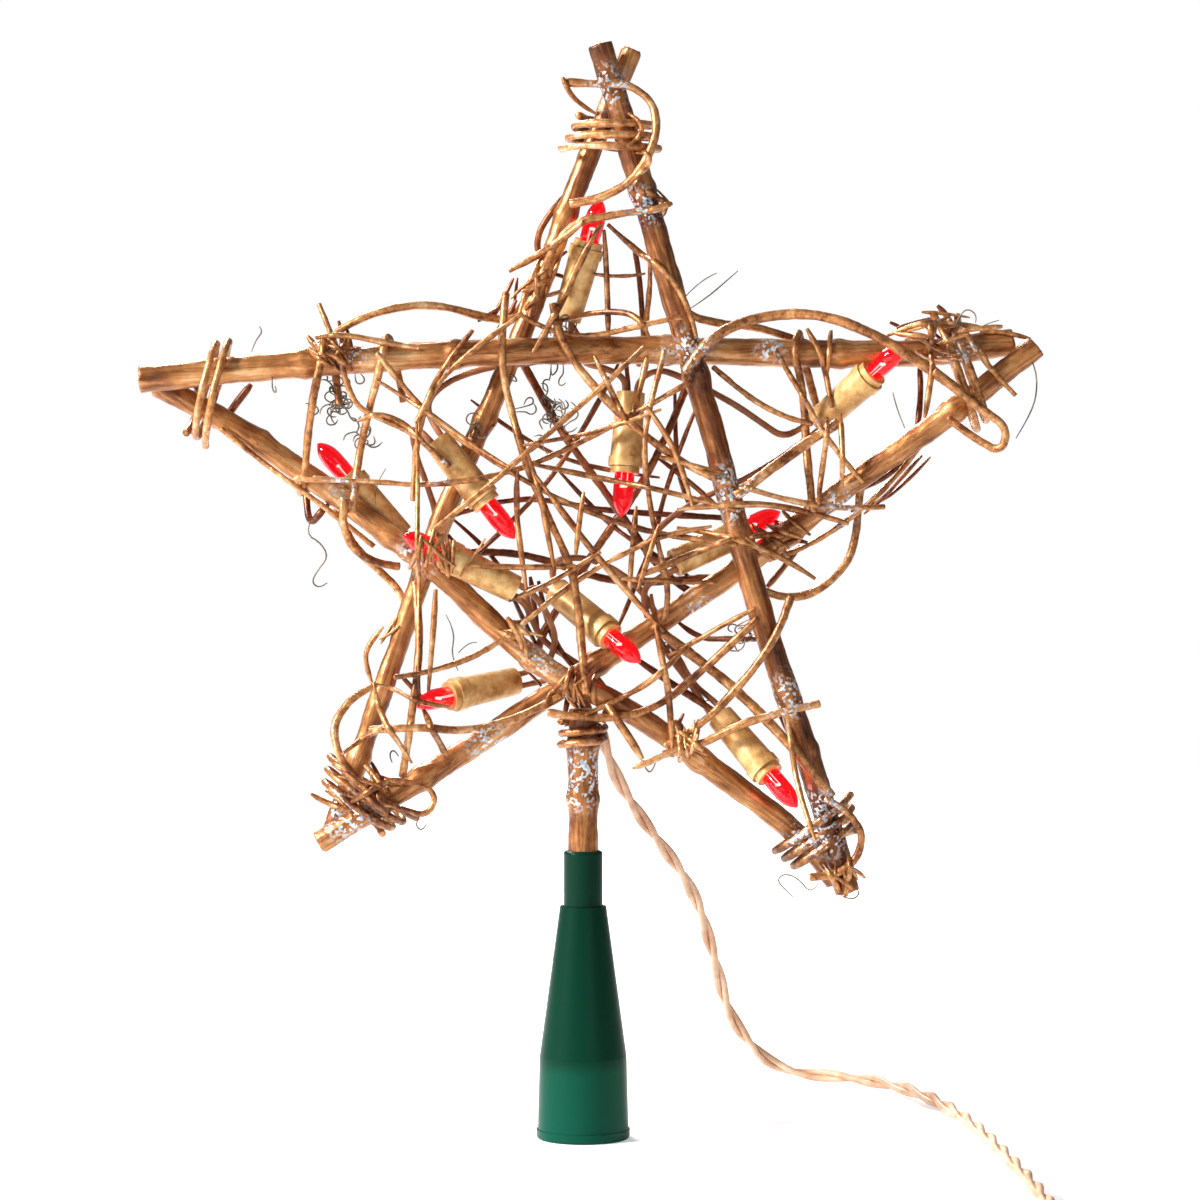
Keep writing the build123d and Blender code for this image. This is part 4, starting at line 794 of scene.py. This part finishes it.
# bulbs: blown red glass round a lit filament, one modelled and copied to each holder
bulb = {
    "rings": [
        (-0.0036, 0.0021), (0.0016, 0.0021), (0.0019, 0.0025), (0.0045, 0.0026), (0.0074, 0.0026),
        (0.0092, 0.0024), (0.0106, 0.0019), (0.0116, 0.0013), (0.0123, 0.0007), (0.0128, 0.0003),
    ],
    "segments": 28, "wall": 0.0005,
    "leadIn": [(0.0009, 0, -0.002), (0.0009, 0, 0.001), (0.001, 0, 0.0045)],
    "wire": 0.00012, "wireSides": 1, "coilWidth": 0.002, "coilRadius": 0.0003, "coilHeight": 0.005,
    "coilTurns": 5, "turnSteps": 8,
}
redGlass = newMaterial("red soda glass", {  # clear, deep in colour, with a faint glow of its own
    "Base Color": srgb("#FF4E60"), "Roughness": 0.02, "Transmission Weight": 1.0, "IOR": 1.45,
    "Emission Color": srgb("#FF0A26"), "Emission Strength": 0.16})[0]
hotWire = newMaterial("lit tungsten filament", {  # a warm white thread, the brightest spot of each light
    "Base Color": srgb("#FFE2B0"), "Emission Color": srgb("#FFE3B8"), "Emission Strength": 14.0})[0]


def turnedGlass(name, rings, segments):
    bpy.ops.mesh.primitive_circle_add(
        vertices=segments, radius=rings[0][1], fill_type="NGON", location=(0, 0, rings[0][0]))
    piece = bpy.context.object
    piece.name = name
    bpy.ops.object.transform_apply(location=True, rotation=True, scale=True)
    bpy.ops.object.mode_set(mode="EDIT")
    bpy.ops.mesh.select_all(action="SELECT")
    for (low, small), (high, wide) in zip(rings, rings[1:]):
        bpy.ops.mesh.extrude_region_move(TRANSFORM_OT_translate={"value": (0, 0, high - low)})
        bpy.ops.transform.resize(value=(wide / small, wide / small, 1), center_override=(0, 0, high))
    bpy.ops.mesh.select_all(action="SELECT")
    bpy.ops.mesh.normals_make_consistent(inside=False)
    bpy.ops.object.mode_set(mode="OBJECT")
    return piece


firstGlass = turnedGlass("firstGlass", bulb["rings"], bulb["segments"])
applyModifier(firstGlass, "SOLIDIFY", thickness=bulb["wall"], offset=-1.0)
bpy.ops.object.shade_smooth()
firstGlass.data.materials.append(redGlass)
coilSteps = bulb["coilTurns"] * bulb["turnSteps"]
coil = [Vector((-x, y, z)) for x, y, z in bulb["leadIn"]]
for step in range(coilSteps):
    angle = 2 * math.pi * step / bulb["turnSteps"]
    across = -bulb["coilWidth"] / 2 + bulb["coilWidth"] * step / (coilSteps - 1)
    out, up = bulb["coilRadius"] * math.cos(angle), bulb["coilRadius"] * math.sin(angle)
    coil.append(Vector((across, out, bulb["coilHeight"] + up)))
coil += [Vector(spot) for spot in reversed(bulb["leadIn"])]
firstFilament = strandCurve("firstFilament", [coil], bulb["wire"], bulb["wireSides"])
firstFilament.data.materials.append(hotWire)
for number, (mouth, joint) in zip(lightNumbers, lightSpots):
    turn = Vector(joint["axis"]).to_track_quat("Z", "Y").to_matrix().to_4x4()
    spot = Matrix.Translation(mouth) @ turn
    for name, first in (("bulb_glass_%02d", firstGlass), ("bulb_filament_%02d", firstFilament)):
        piece = bpy.data.objects.new(name % number, first.data.copy())
        bpy.context.collection.objects.link(piece)
        piece.data.transform(spot)
        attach(piece, joint["child"])
        if first is firstGlass:
            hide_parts("bulb_%02d" % number)
for first in (firstGlass, firstFilament):
    bpy.data.objects.remove(first)
print("stage: bulbs")
